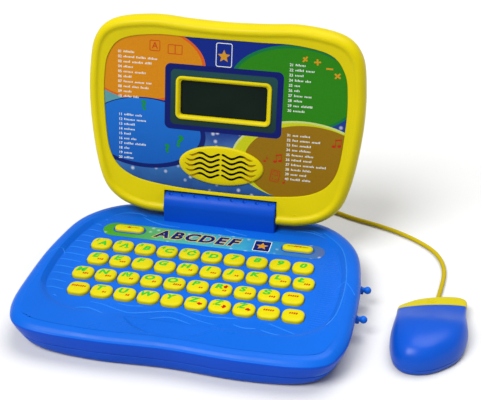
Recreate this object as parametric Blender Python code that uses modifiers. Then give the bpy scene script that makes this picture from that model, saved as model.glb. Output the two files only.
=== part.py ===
"""Toy laptop computer: a keyboard base, a folding lid with a small screen and speaker, and a corded mouse.

Every size below is in millimetres, and MM turns it into metres as a mesh or a place is made.
The origin is on the flat underside at the middle of the base: +X to the user's right,
+Y away from the user, +Z up. The lid stands fully open, and closes about its hinge's +X axis.
"""

import math

import bmesh
import bpy
from mathutils import Matrix, Vector

MM = 0.001
GAP = 0.3

# Base: half outlines run from the middle of the front to the middle of the rear, and
# RIM_HALF gives (x, height of the rim). RIM_ROLL is (inset from the edge, drop below the rim's top).
BASE_HALF = [
    (0, -93.2), (54, -95.2), (102.2, -91), (118.9, -71), (121.9, -30), (119.6, 18), (109.6, 60),
    (80.6, 90.3), (30, 95.4), (0, 95.6),
]
FOOT_HALF = [
    (0, -88.2), (54, -90.2), (95, -84.5), (111, -66), (116.4, -28), (114, 18), (104.5, 57),
    (77, 85.3), (30, 90.1), (0, 90.2),
]
DECK_HALF = [
    (0, -66), (46, -66), (84, -62), (102.5, -45), (107, -16), (105, 20), (95.5, 52.5), (70, 79),
    (27, 85), (0, 85.5),
]
RIM_HALF = [
    (0, 25.2), (54, 25.2), (99, 26.2), (117.5, 27.3), (122.2, 27.6), (119.3, 27.6), (109, 27.2),
    (80, 24.8), (30, 24.2), (0, 24.2),
]
OUTLINE_STEPS = 3
RIM_ROLL = [(1.7, 3.0), (4.8, 0.9), (9.0, 0.0)]
DECK_STEP = 1.8
PARTING_Z = 10.0
DECK_Z = 24.0
DECK_THICKNESS = 2.2
# Side rings are (height, share of the way from the foot's outline to the rim's).
TOP_CASE_RINGS = [(10.15, 0.52), (17.0, 0.86), (21.0, 1.0)]
BOTTOM_CASE_RINGS = [(0.0, -0.45), (1.2, -0.1), (4.0, 0.17), (9.85, 0.505)]
WALL = 2.4

# Battery bay for four AA cells (50.5 by 14.5 mm), two by two, behind the circuit board.
BAY_CENTRE_Y = 70.0
BAY_SIZE = (104.0, 29.6, 17.2)
BAY_WALL = 2.0
DOOR_THICKNESS = 1.9
SCREW_POST_RADIUS = 3.6
SCREW_POST_Z = (1.0, 14.0)
SCREW_POSTS = [(-88, -52), (88, -52), (-88, 56), (88, 56)]

# Keys.
KEY_PITCH = 17.5
KEY_COLUMNS = 10
KEY_ROWS = [(19.5, -2.8), (-0.9, 1.2), (-21.5, -3.1), (-42.0, 0.7)]
KEY_SIZE = (15.9, 14.6)
WIDE_KEY_SIZE = (24.0, 8.4)
WIDE_KEY_PLACES = [("wide_key_left", -67.4, 45.6), ("wide_key_right", 67.4, 45.6)]
KEY_CORNER = 3.4
WIDE_KEY_CORNER = 3.9
KEY_BOTTOM_Z = 19.2
KEY_FLANGE_TOP_Z = 20.8
KEY_SHOULDER_Z = 25.4
KEY_TOP_Z = 26.9
KEY_FLANGE = 1.7
KEY_DRAFT = 1.9
MAT_Z = (16.3, 17.3)
BOARD_Z = (14.4, 16.0)
BOARD_SIZE = (186.0, 106.0)
BOARD_CENTRE_Y = -1.0

# Hinge.
HINGE_Y = 76.0
HINGE_Z = 37.2
HUMP_RADIUS = 10.6
HUMP_HALF_LENGTH = 45.0
HUMP_WALL = 2.2
AXLE_RADIUS = 2.0
AXLE_HALF_LENGTH = 48.8
NOTCH_HALF_WIDTH = 45.6
LID_TILT = math.radians(9.5)

# Lid: its own frame is (x, depth behind the front rim, height up the front), and
# LID_AXIS is the hinge's depth and height in that frame.
LID_AXIS = (8.67, 14.83)
LID_HALF = [
    (0, 5.4), (46, 5.4), (66, 7), (84, 13.7), (96.4, 27), (103.6, 52), (108, 88), (107.9, 119),
    (103.4, 144.6), (89, 158.8), (58, 164.2), (28, 162.8), (0, 162),
]
PANEL_HALF = [
    (0, 28.6), (30, 29), (58, 31.6), (74, 36), (85.4, 44.5), (92, 60), (95, 92), (94.8, 115),
    (91.6, 132), (80.5, 144.8), (55, 150), (26, 150), (0, 150),
]
LID_STEPS = 2
LID_PARTING = 10.0
# Lid rings are (depth behind the front rim, inset from the outline).
FRONT_RINGS = [(9.85, 0.0), (5.6, 0.3), (2.4, 1.9), (0.6, 4.2), (0.0, 6.6)]
BACK_RINGS = [(10.15, 0.0), (14.0, 0.5), (17.5, 2.5), (19.3, 6.0), (20.0, 10.5)]
PANEL_COVE = (0.9, 1.6)
PANEL_DEPTH = 3.2
PANEL_BACK = 5.3
NOTCH_TOP = 26.2
NOTCH_WALL = 2.2
WINDOW_SIZE = (68.2, 27.6)
WINDOW_RIM = (75.0, 34.0)
WINDOW_CORNER = 2.0
WINDOW_RIM_CORNER = 4.0
WINDOW_THICKNESS = 1.0
LCD_THICKNESS = 2.4
WINDOW_HEIGHT = 102.4
RIM_PROUD = 1.2
GRILLE_SIZE = (65.6, 30.6)
GRILLE_HEIGHT = 50.6
GRILLE_SLOT = (22.0, 1.6)
GRILLE_SLOT_PITCH = 4.2
GRILLE_BRIDGE = 1.6
# Half section of the speaker as (radius, depth): flange, cone basket and magnet.
SPEAKER_SECTION = [(0, 0), (14.0, 0), (14.0, 1.4), (12.4, 1.6), (8.4, 4.4), (8.4, 8.4), (0, 8.4)]

# Mouse and its cord.
MOUSE_CONTROL = [
    (164.4, -58.6), (171, -57.6), (178, -54.6), (184.2, -49.8), (190.4, -43.6), (195.2, -36.6),
    (198.6, -27.5), (200.1, -17), (199.4, -6), (198, 4), (197.6, 14), (198, 22.5), (196.6, 27.6),
    (192, 29.2), (184, 27.8), (175.2, 24.9), (162.4, 19.6), (154.6, 13.9), (149.6, 9.2), (148.3, 5),
    (148.2, -2), (147.2, -14), (146.5, -26), (147.2, -37), (149.2, -46.5), (152.4, -53), (157.6, -57.4),
]
MOUSE_CENTRE = (173.4, -18.0)
MOUSE_STEPS = 2
MOUSE_BASE_Z = 4.6
MOUSE_TOP_RINGS = [
    (4.9, 1.0), (10.5, 0.985), (15.5, 0.93), (19.3, 0.83), (21.8, 0.68), (23.2, 0.5), (23.9, 0.28),
]
MOUSE_TRAY_RINGS = [(0.0, 2.6), (1.4, 0.8), (4.6, 0.2)]
MOUSE_TRAY_HOLLOW = [(2.0, 3.2), (5.6, 2.2)]
# The dome's height along its rear: the edge's distance and height, then the slope and its growth.
MOUSE_REAR = (24.0, 12.2, 0.08, 0.0042)
MOUSE_REAR_ARCH = (177.0, 0.004)
MOUSE_REAR_BLEND = 2.0
MOUSE_WALL = 2.0
MOUSE_BOARD_SIZE = (34.0, 40.0)
MOUSE_BOARD_Z = (3.0, 4.6)
BUTTON_LINE = (173.5, 8.8)
BUTTON_ANGLE = math.radians(17.7)
BUTTON_LIFT = 1.4
BUTTON_GAP = 0.25
CORD_RADIUS = 1.65
CORD_ROUTE = [
    (60, 99.6, 14), (60.3, 105, 13.3), (61.2, 114, 10.6), (63.6, 126, 6.8), (67.8, 137.6, 3.4),
    (73.4, 145.8, 2), (80, 148.4, 1.75), (87, 146.2, 1.75), (95.6, 142.2, 1.75), (105.3, 138.6, 1.75),
    (115.9, 135.2, 1.75), (126.5, 131.2, 1.75), (137, 126.4, 1.75), (147.6, 120.4, 1.75),
    (157, 113.8, 1.75), (165.3, 106.4, 1.75), (171.8, 97.8, 1.75), (176.6, 86.4, 1.75),
    (178.9, 73, 1.75), (178.6, 59, 1.75), (177.3, 44.6, 1.75), (176.5, 36.6, 1.9), (176.1, 29.6, 2.4),
    (175.9, 23.4, 2.6),
]
CORD_POINTS = 56
GLAND_RADIUS = 3.4
GLAND_TIP_RADIUS = 2.4
GLAND_LENGTH = 7.0
CORD_ENTRY = (175.95, 2.55)

# Pegs on the right side of the base.
PEG_PLACES = [(15.7, 120.1), (-21.5, 121.6)]
PEG_Z = 15.0
PEG_STEM_RADIUS = 1.9
PEG_BALL_RADIUS = 2.8
PEG_REACH = 6.4
PEG_ROOT = 3.0
NUB_RADIUS = 1.2
NUB_DROP = 2.6
NUB_REACH = 2.0

BLUE = (0.012, 0.13, 0.74, 1)
YELLOW = (0.87, 0.72, 0.01, 1)
GREEN = (0.02, 0.16, 0.06, 1)
GREY = (0.25, 0.27, 0.3, 1)


def clear_scene():
    for obj in list(bpy.data.objects):
        bpy.data.objects.remove(obj, do_unlink=True)


def new_collection(name):
    collection = bpy.data.collections.new(name)
    bpy.context.scene.collection.children.link(collection)
    return collection


def material(name, colour, roughness, metallic=0.0):
    finish = bpy.data.materials.new(name)
    finish.use_nodes = True
    shader = finish.node_tree.nodes["Principled BSDF"]
    shader.inputs["Base Color"].default_value = colour
    shader.inputs["Roughness"].default_value = roughness
    shader.inputs["Metallic"].default_value = metallic
    return finish


def add_object(name, bm, colour=None, roughness=0.4, metallic=0.0):
    """Turns a bmesh in millimetres into an object in metres: a part, or a cutter if it has no colour."""
    bmesh.ops.recalc_face_normals(bm, faces=bm.faces)
    bmesh.ops.scale(bm, vec=(MM, MM, MM), verts=bm.verts)
    mesh = bpy.data.meshes.new(name)
    bm.to_mesh(mesh)
    bm.free()
    obj = bpy.data.objects.new(name, mesh)
    if colour is None:
        CUTTERS.objects.link(obj)
        obj.hide_render = True
        obj.display_type = "WIRE"
    else:
        PARTS.objects.link(obj)
        mesh.materials.append(material(name + "_plastic", colour, roughness, metallic))
        mesh.shade_smooth()
        mesh.set_sharp_from_angle(angle=math.radians(35))
    return obj


def boolean(obj, cutter, operation="DIFFERENCE"):
    modifier = obj.modifiers.new(operation.lower() + "_" + cutter.name, "BOOLEAN")
    modifier.operation = operation
    modifier.object = cutter


def mirrored(half):
    """A closed outline from its right half, whose two ends are on the plane of symmetry."""
    return half + [(-x, y) for x, y in reversed(half[1:-1])]


def smooth_closed(points, steps):
    """A closed Catmull-Rom curve through the points, with this many steps between each two."""
    points = [Vector(point) for point in points]
    count = len(points)
    curve = []
    for i in range(count):
        before, start, end, after = (points[(i + k) % count] for k in (-1, 0, 1, 2))
        for step in range(steps):
            curve.append(catmull_rom(before, start, end, after, step / steps))
    return curve


def catmull_rom(before, start, end, after, t):
    return 0.5 * (
        2 * start
        + (end - before) * t
        + (2 * before - 5 * start + 4 * end - after) * t**2
        + (3 * start - before - 3 * end + after) * t**3
    )


def inset(outline, distance):
    """The outline moved inwards by a distance, for an outline that runs anticlockwise."""
    moved = []
    for i, point in enumerate(outline):
        along = (outline[(i + 1) % len(outline)] - outline[i - 1]).normalized()
        moved.append(point + Vector((-along.y, along.x)) * distance)
    return moved


def loft(bm, rings):
    """A closed solid through rings of (x, y, z) points, with the first and the last ring capped."""
    rows = [[bm.verts.new(point) for point in ring] for ring in rings]
    for lower, upper in zip(rows, rows[1:]):
        for i in range(len(lower)):
            j = (i + 1) % len(lower)
            bm.faces.new((lower[i], lower[j], upper[j], upper[i]))
    bm.faces.new(rows[0])
    bm.faces.new(rows[-1])


def lofted(rings):
    bm = bmesh.new()
    loft(bm, rings)
    return bm


def level(outline, z):
    return [(point.x, point.y, z) for point in outline]


def chamfered_rectangle(width, depth, corner, z, centre=(0, 0)):
    """An anticlockwise ring of eight points: a rectangle with its corners cut at 45 degrees."""
    cut = corner * (2 - math.sqrt(2)) / 2 + corner * 0.22
    x, y = width / 2, depth / 2
    right = [(x - cut, -y), (x, -y + cut), (x, y - cut), (x - cut, y)]
    left = [(-px, py) for px, py in reversed(right)]
    return [(centre[0] + px, centre[1] + py, z) for px, py in right + left]


def box(bm, low, high):
    size = Vector(high) - Vector(low)
    middle = (Vector(high) + Vector(low)) / 2
    place = Matrix.Translation(middle) @ Matrix.Diagonal((*size, 1))
    bmesh.ops.create_cube(bm, size=1, matrix=place)


def cylinder(bm, start, end, radius, segments, end_radius=None):
    start, end = Vector(start), Vector(end)
    turn = (end - start).to_track_quat("Z", "Y").to_matrix().to_4x4()
    place = Matrix.Translation((start + end) / 2) @ turn
    bmesh.ops.create_cone(
        bm, cap_ends=True, segments=segments, radius1=radius,
        radius2=radius if end_radius is None else end_radius, depth=(end - start).length, matrix=place,
    )


def box_object(name, low, high, *finish):
    bm = bmesh.new()
    box(bm, low, high)
    return add_object(name, bm, *finish)


def cylinder_object(name, start, end, radius, segments, *finish):
    bm = bmesh.new()
    cylinder(bm, start, end, radius, segments)
    return add_object(name, bm, *finish)


# Base.

def base_outline():
    return smooth_closed(mirrored(BASE_HALF), OUTLINE_STEPS)


def side_ring(z, share):
    """The case's outline at a height: share runs from 0 at the foot to 1 at the rim, which is wider."""
    foot = smooth_closed(mirrored(FOOT_HALF), OUTLINE_STEPS)
    return [low.lerp(high, share).to_3d() + Vector((0, 0, z)) for low, high in zip(foot, base_outline())]


def inset_level(ring, distance, z):
    return level(inset([point.xy for point in ring], distance), z)


def rim_heights():
    """The height of the raised rim at each point of the base's outline."""
    heights = [height for _, height in RIM_HALF]
    ring = [(height, 0) for height in heights + heights[-2:0:-1]]
    return [point.x for point in smooth_closed(ring, OUTLINE_STEPS)]


def base_top_case(keys):
    """The upper shell: flared sides, a rolled rim, and a deck sunk inside it with the key openings."""
    outline = base_outline()
    deck = smooth_closed(mirrored(DECK_HALF), OUTLINE_STEPS)
    heights = rim_heights()
    rings = [side_ring(z, share) for z, share in TOP_CASE_RINGS]
    for distance, drop in RIM_ROLL:
        ring = inset(outline, distance)
        rings.append([(p.x, p.y, height - drop) for p, height in zip(ring, heights)])
    step = inset(deck, -DECK_STEP)
    rings.append([(p.x, p.y, max(height - 0.1, DECK_Z + 0.1)) for p, height in zip(step, heights)])
    rings.append(level(deck, DECK_Z))
    case = add_object("base_top_case", lofted(rings), BLUE, 0.35)

    lowest, middle, highest = rings[:3]
    hollow = lofted([
        inset_level(lowest, WALL, PARTING_Z - 1),
        inset_level(middle, WALL, TOP_CASE_RINGS[1][0]),
        inset_level(highest, 2 * WALL, DECK_Z - DECK_THICKNESS),
    ])
    boolean(case, add_object("base_top_hollow", hollow))

    openings = bmesh.new()
    for _, x, y, size, corner in keys:
        wide = (size[0] + 2 * GAP, size[1] + 2 * GAP)
        ends = [chamfered_rectangle(*wide, corner + GAP, z, (x, y)) for z in (DECK_Z - 4, DECK_Z + 4)]
        loft(openings, ends)
    boolean(case, add_object("key_openings", openings))

    for i, (y, x) in enumerate(PEG_PLACES):
        boolean(case, side_peg("side_peg_%d" % (i + 1), x, y), "UNION")
    x, start, z = CORD_ROUTE[0]
    ends = ((x, start - 3 * GLAND_LENGTH, z), (x, start + GLAND_LENGTH, z))
    boolean(case, cylinder_object("gland_hole", *ends, GLAND_RADIUS + GAP, 12))


def side_peg(name, x, y):
    """A short stem with a ball end, and a smaller nub under it, rooted in the side wall."""
    bm = bmesh.new()
    ball_x = x + PEG_REACH - PEG_BALL_RADIUS / 2
    cylinder(bm, (x - PEG_ROOT, y, PEG_Z), (ball_x, y, PEG_Z), PEG_STEM_RADIUS, 10)
    peg = add_object(name, bm)
    ball = bmesh.new()
    place = Matrix.Translation((ball_x, y, PEG_Z))
    bmesh.ops.create_uvsphere(ball, u_segments=10, v_segments=6, radius=PEG_BALL_RADIUS, matrix=place)
    boolean(peg, add_object(name + "_ball", ball), "UNION")
    nub = bmesh.new()
    nub_z = PEG_Z - NUB_DROP
    cylinder(nub, (x - PEG_ROOT, y - 0.2, nub_z), (x + NUB_REACH, y - 0.2, nub_z), NUB_RADIUS, 8)
    boolean(peg, add_object(name + "_nub", nub), "UNION")
    return peg


def base_bottom_case():
    """The lower shell, with the battery bay open below and four screw posts under the board."""
    rings = [side_ring(z, share) for z, share in BOTTOM_CASE_RINGS]
    case = add_object("base_bottom_case", lofted(rings), BLUE, 0.4)
    hollow = lofted([
        inset_level(rings[1], WALL, WALL),
        inset_level(rings[2], WALL, 5.0),
        inset_level(rings[3], WALL, PARTING_Z + 1),
    ])
    boolean(case, add_object("base_bottom_hollow", hollow))
    half_x, half_y = BAY_SIZE[0] / 2, BAY_SIZE[1] / 2
    bay = box_object(
        "battery_bay",
        (-half_x - BAY_WALL, BAY_CENTRE_Y - half_y - BAY_WALL, 1.0),
        (half_x + BAY_WALL, BAY_CENTRE_Y + half_y + BAY_WALL, BAY_SIZE[2] + BAY_WALL),
    )
    boolean(case, bay, "UNION")
    for x, y in SCREW_POSTS:
        name = "screw_post_%d_%d" % (x, y)
        ends = [(x, y, z) for z in SCREW_POST_Z]
        boolean(case, cylinder_object(name, *ends, SCREW_POST_RADIUS, 12), "UNION")
    inside = box_object(
        "battery_space",
        (-half_x, BAY_CENTRE_Y - half_y, -1.0), (half_x, BAY_CENTRE_Y + half_y, BAY_SIZE[2]),
    )
    boolean(case, inside)


def battery_door():
    half_x, half_y = BAY_SIZE[0] / 2 - GAP, BAY_SIZE[1] / 2 - GAP
    bm = bmesh.new()
    box(bm, (-half_x, BAY_CENTRE_Y - half_y, 0.0), (half_x, BAY_CENTRE_Y + half_y, DOOR_THICKNESS))
    add_object("battery_door", bm, BLUE, 0.4)


def board_box(name, z, *finish):
    x, y = BOARD_SIZE[0] / 2, BOARD_SIZE[1] / 2
    box_object(name, (-x, BOARD_CENTRE_Y - y, z[0]), (x, BOARD_CENTRE_Y + y, z[1]), *finish)


def keypad_mat():
    board_box("keypad_mat", MAT_Z, GREY, 0.7)


def circuit_board():
    board_box("circuit_board", BOARD_Z, GREEN, 0.45)


# Keys.

def key_list():
    """Every key as (name, x, y, size, corner)."""
    keys = []
    for row, (y, shift) in enumerate(KEY_ROWS):
        for column in range(KEY_COLUMNS):
            x = (column - (KEY_COLUMNS - 1) / 2) * KEY_PITCH + shift
            keys.append(("key_r%d_c%02d" % (row + 1, column + 1), x, y, KEY_SIZE, KEY_CORNER))
    for name, x, y in WIDE_KEY_PLACES:
        keys.append((name, x, y, WIDE_KEY_SIZE, WIDE_KEY_CORNER))
    return keys


def key_mesh(name, size, corner):
    """A key cap with straight sides, a drafted crown and a flange below that keeps it in the deck."""
    width, depth = size
    bm = lofted([
        chamfered_rectangle(width, depth + 2 * KEY_FLANGE, corner, KEY_BOTTOM_Z),
        chamfered_rectangle(width, depth + 2 * KEY_FLANGE, corner, KEY_FLANGE_TOP_Z),
        chamfered_rectangle(width, depth, corner, KEY_FLANGE_TOP_Z),
        chamfered_rectangle(width, depth, corner, KEY_SHOULDER_Z),
        chamfered_rectangle(width - 2 * KEY_DRAFT, depth - 2 * KEY_DRAFT, corner - 1, KEY_TOP_Z),
    ])
    return add_object(name, bm, YELLOW, 0.35)


def add_keys(keys):
    meshes = {}
    for name, x, y, size, corner in keys:
        if size in meshes:
            key = bpy.data.objects.new(name, meshes[size])
            PARTS.objects.link(key)
        else:
            key = key_mesh(name, size, corner)
            meshes[size] = key.data
        key.location = (x * MM, y * MM, 0)


# Hinge.

def hump_profile(shrink):
    """The hinge cover's section in the YZ plane: straight sides and a round top about the hinge."""
    radius = HUMP_RADIUS - shrink
    points = [(HINGE_Y - radius, DECK_Z + GAP), (HINGE_Y + radius, DECK_Z + GAP)]
    steps = 12
    for i in range(steps + 1):
        angle = math.pi * i / steps
        points.append((HINGE_Y + radius * math.cos(angle), HINGE_Z + radius * math.sin(angle)))
    return points


def hinge_cover():
    ends = [[(x, y, z) for y, z in hump_profile(0)] for x in (-HUMP_HALF_LENGTH, HUMP_HALF_LENGTH)]
    cover = add_object("hinge_cover", lofted(ends), BLUE, 0.35)
    inner = HUMP_HALF_LENGTH - HUMP_WALL
    hollow = []
    for x in (-inner, inner):
        ring = [(x, y, z) for y, z in hump_profile(HUMP_WALL)]
        ring[0] = (x, ring[0][1], ring[0][2] - 2)
        ring[1] = (x, ring[1][1], ring[1][2] - 2)
        hollow.append(ring)
    boolean(cover, add_object("hinge_hollow", lofted(hollow)))
    ends = ((-60, HINGE_Y, HINGE_Z), (60, HINGE_Y, HINGE_Z))
    boolean(cover, cylinder_object("hinge_bore", *ends, AXLE_RADIUS + GAP, 16))


def hinge_axle():
    ends = ((-AXLE_HALF_LENGTH, HINGE_Y, HINGE_Z), (AXLE_HALF_LENGTH, HINGE_Y, HINGE_Z))
    cylinder_object("hinge_axle", *ends, AXLE_RADIUS, 16, (0.6, 0.6, 0.62, 1), 0.3, 1.0)


# Lid, modelled with its hinge axis at the origin, then placed by the empty on that axis.

def lid_point(x, depth, height):
    return (x, depth - LID_AXIS[0], height - LID_AXIS[1])


def lid_ring(outline, depth):
    return [lid_point(point.x, depth, point.y) for point in outline]


def lid_box(name, x, depth, height, *finish):
    """A box from (low, high) pairs along x, depth and height."""
    low = lid_point(x[0], depth[0], height[0])
    high = lid_point(x[1], depth[1], height[1])
    return box_object(name, low, high, *finish)


def lid_outline():
    return smooth_closed(mirrored(LID_HALF), LID_STEPS)


def lid_hollow(name, depths_and_insets):
    """The lid's inner space, kept a wall's thickness away from the hinge notch."""
    outline = lid_outline()
    rings = [lid_ring(inset(outline, distance), depth) for depth, distance in depths_and_insets]
    hollow = add_object(name, lofted(rings))
    half = NOTCH_HALF_WIDTH + NOTCH_WALL
    notch = lid_box(name + "_notch", (-half, half), (-5, 30), (-10, NOTCH_TOP + NOTCH_WALL))
    boolean(hollow, notch)
    return hollow


def hinge_notch(name):
    half = NOTCH_HALF_WIDTH
    return lid_box(name, (-half, half), (-5, 30), (-10, NOTCH_TOP))


def lid_front_frame():
    outline = lid_outline()
    panel = smooth_closed(mirrored(PANEL_HALF), LID_STEPS)
    rings = [lid_ring(inset(outline, distance), depth) for depth, distance in FRONT_RINGS]
    rings.append(lid_ring(inset(panel, -PANEL_COVE[1]), PANEL_COVE[0]))
    rings.append(lid_ring(panel, PANEL_DEPTH))
    frame = add_object("lid_front_frame", lofted(rings), YELLOW, 0.35)
    boolean(frame, hinge_notch("front_notch"))
    boolean(frame, lid_hollow("front_hollow", [(PANEL_BACK, 2.6), (LID_PARTING + 1, 2.4)]))

    rim = lofted([
        window_ring(WINDOW_RIM, PANEL_DEPTH - RIM_PROUD, WINDOW_RIM_CORNER),
        window_ring(WINDOW_RIM, PANEL_DEPTH + 1, WINDOW_RIM_CORNER),
    ])
    boolean(frame, add_object("window_rim", rim), "UNION")
    opening = lofted([
        window_ring(WINDOW_SIZE, -2, WINDOW_CORNER),
        window_ring(WINDOW_SIZE, PANEL_BACK + 1, WINDOW_CORNER),
    ])
    boolean(frame, add_object("window_opening", opening))

    grille = bmesh.new()
    thickness = RIM_PROUD + 1
    place = Matrix.Translation(lid_point(0, PANEL_DEPTH - RIM_PROUD + thickness / 2, GRILLE_HEIGHT))
    stretch = Matrix.Diagonal((GRILLE_SIZE[0] / 2, 1, GRILLE_SIZE[1] / 2, 1))
    turn = Matrix.Rotation(math.radians(90), 4, "X")
    bmesh.ops.create_cone(
        grille, cap_ends=True, segments=32, radius1=1, radius2=1, depth=thickness,
        matrix=place @ stretch @ turn,
    )
    boolean(frame, add_object("grille_dome", grille), "UNION")
    boolean(frame, grille_slots())
    boolean(frame, axle_bore("front_axle_bore"))
    return frame


def window_ring(size, depth, corner):
    ring = chamfered_rectangle(size[0], size[1], corner, 0, (0, WINDOW_HEIGHT))
    return [lid_point(x, depth, height) for x, height, _ in ring]


def grille_slots():
    """Two columns of five sound slots either side of the middle."""
    slots = bmesh.new()
    length, width = GRILLE_SLOT
    for row in range(-2, 3):
        height = GRILLE_HEIGHT + row * GRILLE_SLOT_PITCH
        for start in (-length - GRILLE_BRIDGE / 2, GRILLE_BRIDGE / 2):
            low = lid_point(start, -2, height - width / 2)
            high = lid_point(start + length, PANEL_BACK + 1, height + width / 2)
            box(slots, low, high)
    return add_object("grille_slots", slots)


def axle_bore(name):
    return cylinder_object(name, (-60, 0, 0), (60, 0, 0), AXLE_RADIUS + GAP, 16)


def lid_back_cover():
    outline = lid_outline()
    rings = [lid_ring(inset(outline, distance), depth) for depth, distance in BACK_RINGS]
    cover = add_object("lid_back_cover", lofted(rings), YELLOW, 0.35)
    boolean(cover, hinge_notch("back_notch"))
    hollow = lid_hollow("back_hollow", [(LID_PARTING - 1, 2.4), (14.5, 3.0), (17.8, 7.2)])
    boolean(cover, hollow)
    boolean(cover, axle_bore("back_axle_bore"))
    return cover


def display_window():
    x, y = WINDOW_SIZE[0] / 2 + 2, WINDOW_SIZE[1] / 2 + 2
    depths = (PANEL_BACK + GAP, PANEL_BACK + GAP + WINDOW_THICKNESS)
    heights = (WINDOW_HEIGHT - y, WINDOW_HEIGHT + y)
    return lid_box("display_window", (-x, x), depths, heights, (0.02, 0.08, 0.05, 1), 0.08)


def lcd_module():
    x, y = WINDOW_SIZE[0] / 2 + 3, WINDOW_SIZE[1] / 2 + 3
    start = PANEL_BACK + 2 * GAP + WINDOW_THICKNESS
    depths = (start, start + LCD_THICKNESS)
    heights = (WINDOW_HEIGHT - y, WINDOW_HEIGHT + y)
    return lid_box("lcd_module", (-x, x), depths, heights, (0.03, 0.09, 0.05, 1), 0.3)


def speaker_driver():
    bm = bmesh.new()
    points = [bm.verts.new((radius, 0, -depth)) for radius, depth in SPEAKER_SECTION]
    for start, end in zip(points, points[1:]):
        bm.edges.new((start, end))
    speaker = add_object("speaker_driver", bm, (0.12, 0.12, 0.13, 1), 0.5, 0.6)
    screw = speaker.modifiers.new("turn", "SCREW")
    screw.steps = 20
    screw.render_steps = 20
    screw.use_merge_vertices = True
    screw.merge_threshold = 0.00001
    x, y, z = lid_point(0, PANEL_BACK + GAP, GRILLE_HEIGHT)
    speaker.location = (x * MM, y * MM, z * MM)
    speaker.rotation_euler = (math.radians(90), 0, 0)
    return speaker


def add_lid():
    hinge = bpy.data.objects.new("lid_hinge", None)
    PARTS.objects.link(hinge)
    hinge.location = (0, HINGE_Y * MM, HINGE_Z * MM)
    hinge.rotation_euler = (-LID_TILT, 0, 0)
    for part in (lid_front_frame(), lid_back_cover(), display_window(), lcd_module(), speaker_driver()):
        part.parent = hinge
    for cutter in CUTTERS.objects:
        if cutter.name.startswith(("front_", "back_", "window_", "grille_")):
            cutter.parent = hinge


# Mouse.

def mouse_outline():
    return smooth_closed(MOUSE_CONTROL, MOUSE_STEPS)


def mouse_rings(wall):
    """The dome's rings, each a smaller copy of the outline, and none above the low rear."""
    centre = Vector(MOUSE_CENTRE)
    outline = inset(mouse_outline(), wall)
    rings = []
    for z, share in MOUSE_TOP_RINGS:
        ring = []
        for point in outline:
            place = centre + (point - centre) * share
            ring.append((place.x, place.y, below_rear(z, place.x, place.y) - wall))
        rings.append(ring)
    rings[0] = [(x, y, MOUSE_TOP_RINGS[0][0]) for x, y, _ in rings[0]]
    return rings


def below_rear(z, x, y):
    """A height on the dome, kept below the rear's height there with a soft change between them."""
    edge, low, slope, growth = MOUSE_REAR
    middle, arch = MOUSE_REAR_ARCH
    back = edge - y
    rear = low + slope * back + growth * back * abs(back) - arch * (x - middle) ** 2
    shares = math.exp(-z / MOUSE_REAR_BLEND) + math.exp(-rear / MOUSE_REAR_BLEND)
    return -MOUSE_REAR_BLEND * math.log(shares)


def button_side(name, offset, lowest):
    """A box that holds everything behind the slanted line between the shell and the button."""
    bm = bmesh.new()
    box(bm, (-60, offset, lowest), (60, 60, 60))
    turn = Matrix.Translation((*BUTTON_LINE, 0)) @ Matrix.Rotation(BUTTON_ANGLE, 4, "Z")
    bmesh.ops.transform(bm, matrix=turn, verts=bm.verts)
    return add_object(name, bm)


def mouse_shell(name, colour):
    shell = add_object(name, lofted(mouse_rings(0)), colour, 0.35)
    hollow = mouse_rings(MOUSE_WALL)
    hollow[0] = [(x, y, MOUSE_BASE_Z - 1) for x, y, _ in hollow[0]]
    boolean(shell, add_object(name + "_hollow", lofted(hollow)))
    return shell


def mouse_top_shell():
    shell = mouse_shell("mouse_top_shell", BLUE)
    boolean(shell, button_side("button_space", -BUTTON_GAP, MOUSE_BASE_Z - 1))


def mouse_button():
    button = mouse_shell("mouse_button", YELLOW)
    boolean(button, button_side("button_keep", BUTTON_GAP, MOUSE_BASE_Z + BUTTON_LIFT), "INTERSECT")


def tray_rings(rings):
    outline = mouse_outline()
    return [level(inset(outline, distance), z) for z, distance in rings]


def mouse_base():
    tray = add_object("mouse_base", lofted(tray_rings(MOUSE_TRAY_RINGS)), BLUE, 0.4)
    boolean(tray, add_object("mouse_base_hollow", lofted(tray_rings(MOUSE_TRAY_HOLLOW))))
    x, z = CORD_ENTRY
    boolean(tray, cylinder_object("cord_hole", (x, 20, z), (x, 40, z), CORD_RADIUS + GAP, 10))


def mouse_circuit_board():
    x, y = MOUSE_CENTRE
    half_x, half_y = MOUSE_BOARD_SIZE[0] / 2, MOUSE_BOARD_SIZE[1] / 2
    low = (x - half_x, y - half_y, MOUSE_BOARD_Z[0])
    high = (x + half_x, y + half_y, MOUSE_BOARD_Z[1])
    box_object("mouse_circuit_board", low, high, GREEN, 0.45)


def route_point(points, position):
    """A point on the smooth curve through the route, where position counts route points."""
    last = len(points) - 1
    i = min(int(position), last - 1)
    before = points[max(i - 1, 0)]
    after = points[min(i + 2, last)]
    return catmull_rom(before, points[i], points[i + 1], after, position - i)


def mouse_cord():
    route = [Vector(point) for point in CORD_ROUTE]
    curve = bpy.data.curves.new("mouse_cord", "CURVE")
    curve.dimensions = "3D"
    curve.bevel_depth = CORD_RADIUS * MM
    curve.bevel_resolution = 2
    curve.use_fill_caps = True
    spline = curve.splines.new("POLY")
    spline.points.add(CORD_POINTS - 1)
    for i in range(CORD_POINTS):
        place = route_point(route, i * (len(route) - 1) / (CORD_POINTS - 1)) * MM
        spline.points[i].co = (*place, 1)
    cord = bpy.data.objects.new("mouse_cord", curve)
    curve.materials.append(material("mouse_cord_vinyl", YELLOW, 0.4))
    PARTS.objects.link(cord)


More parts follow.
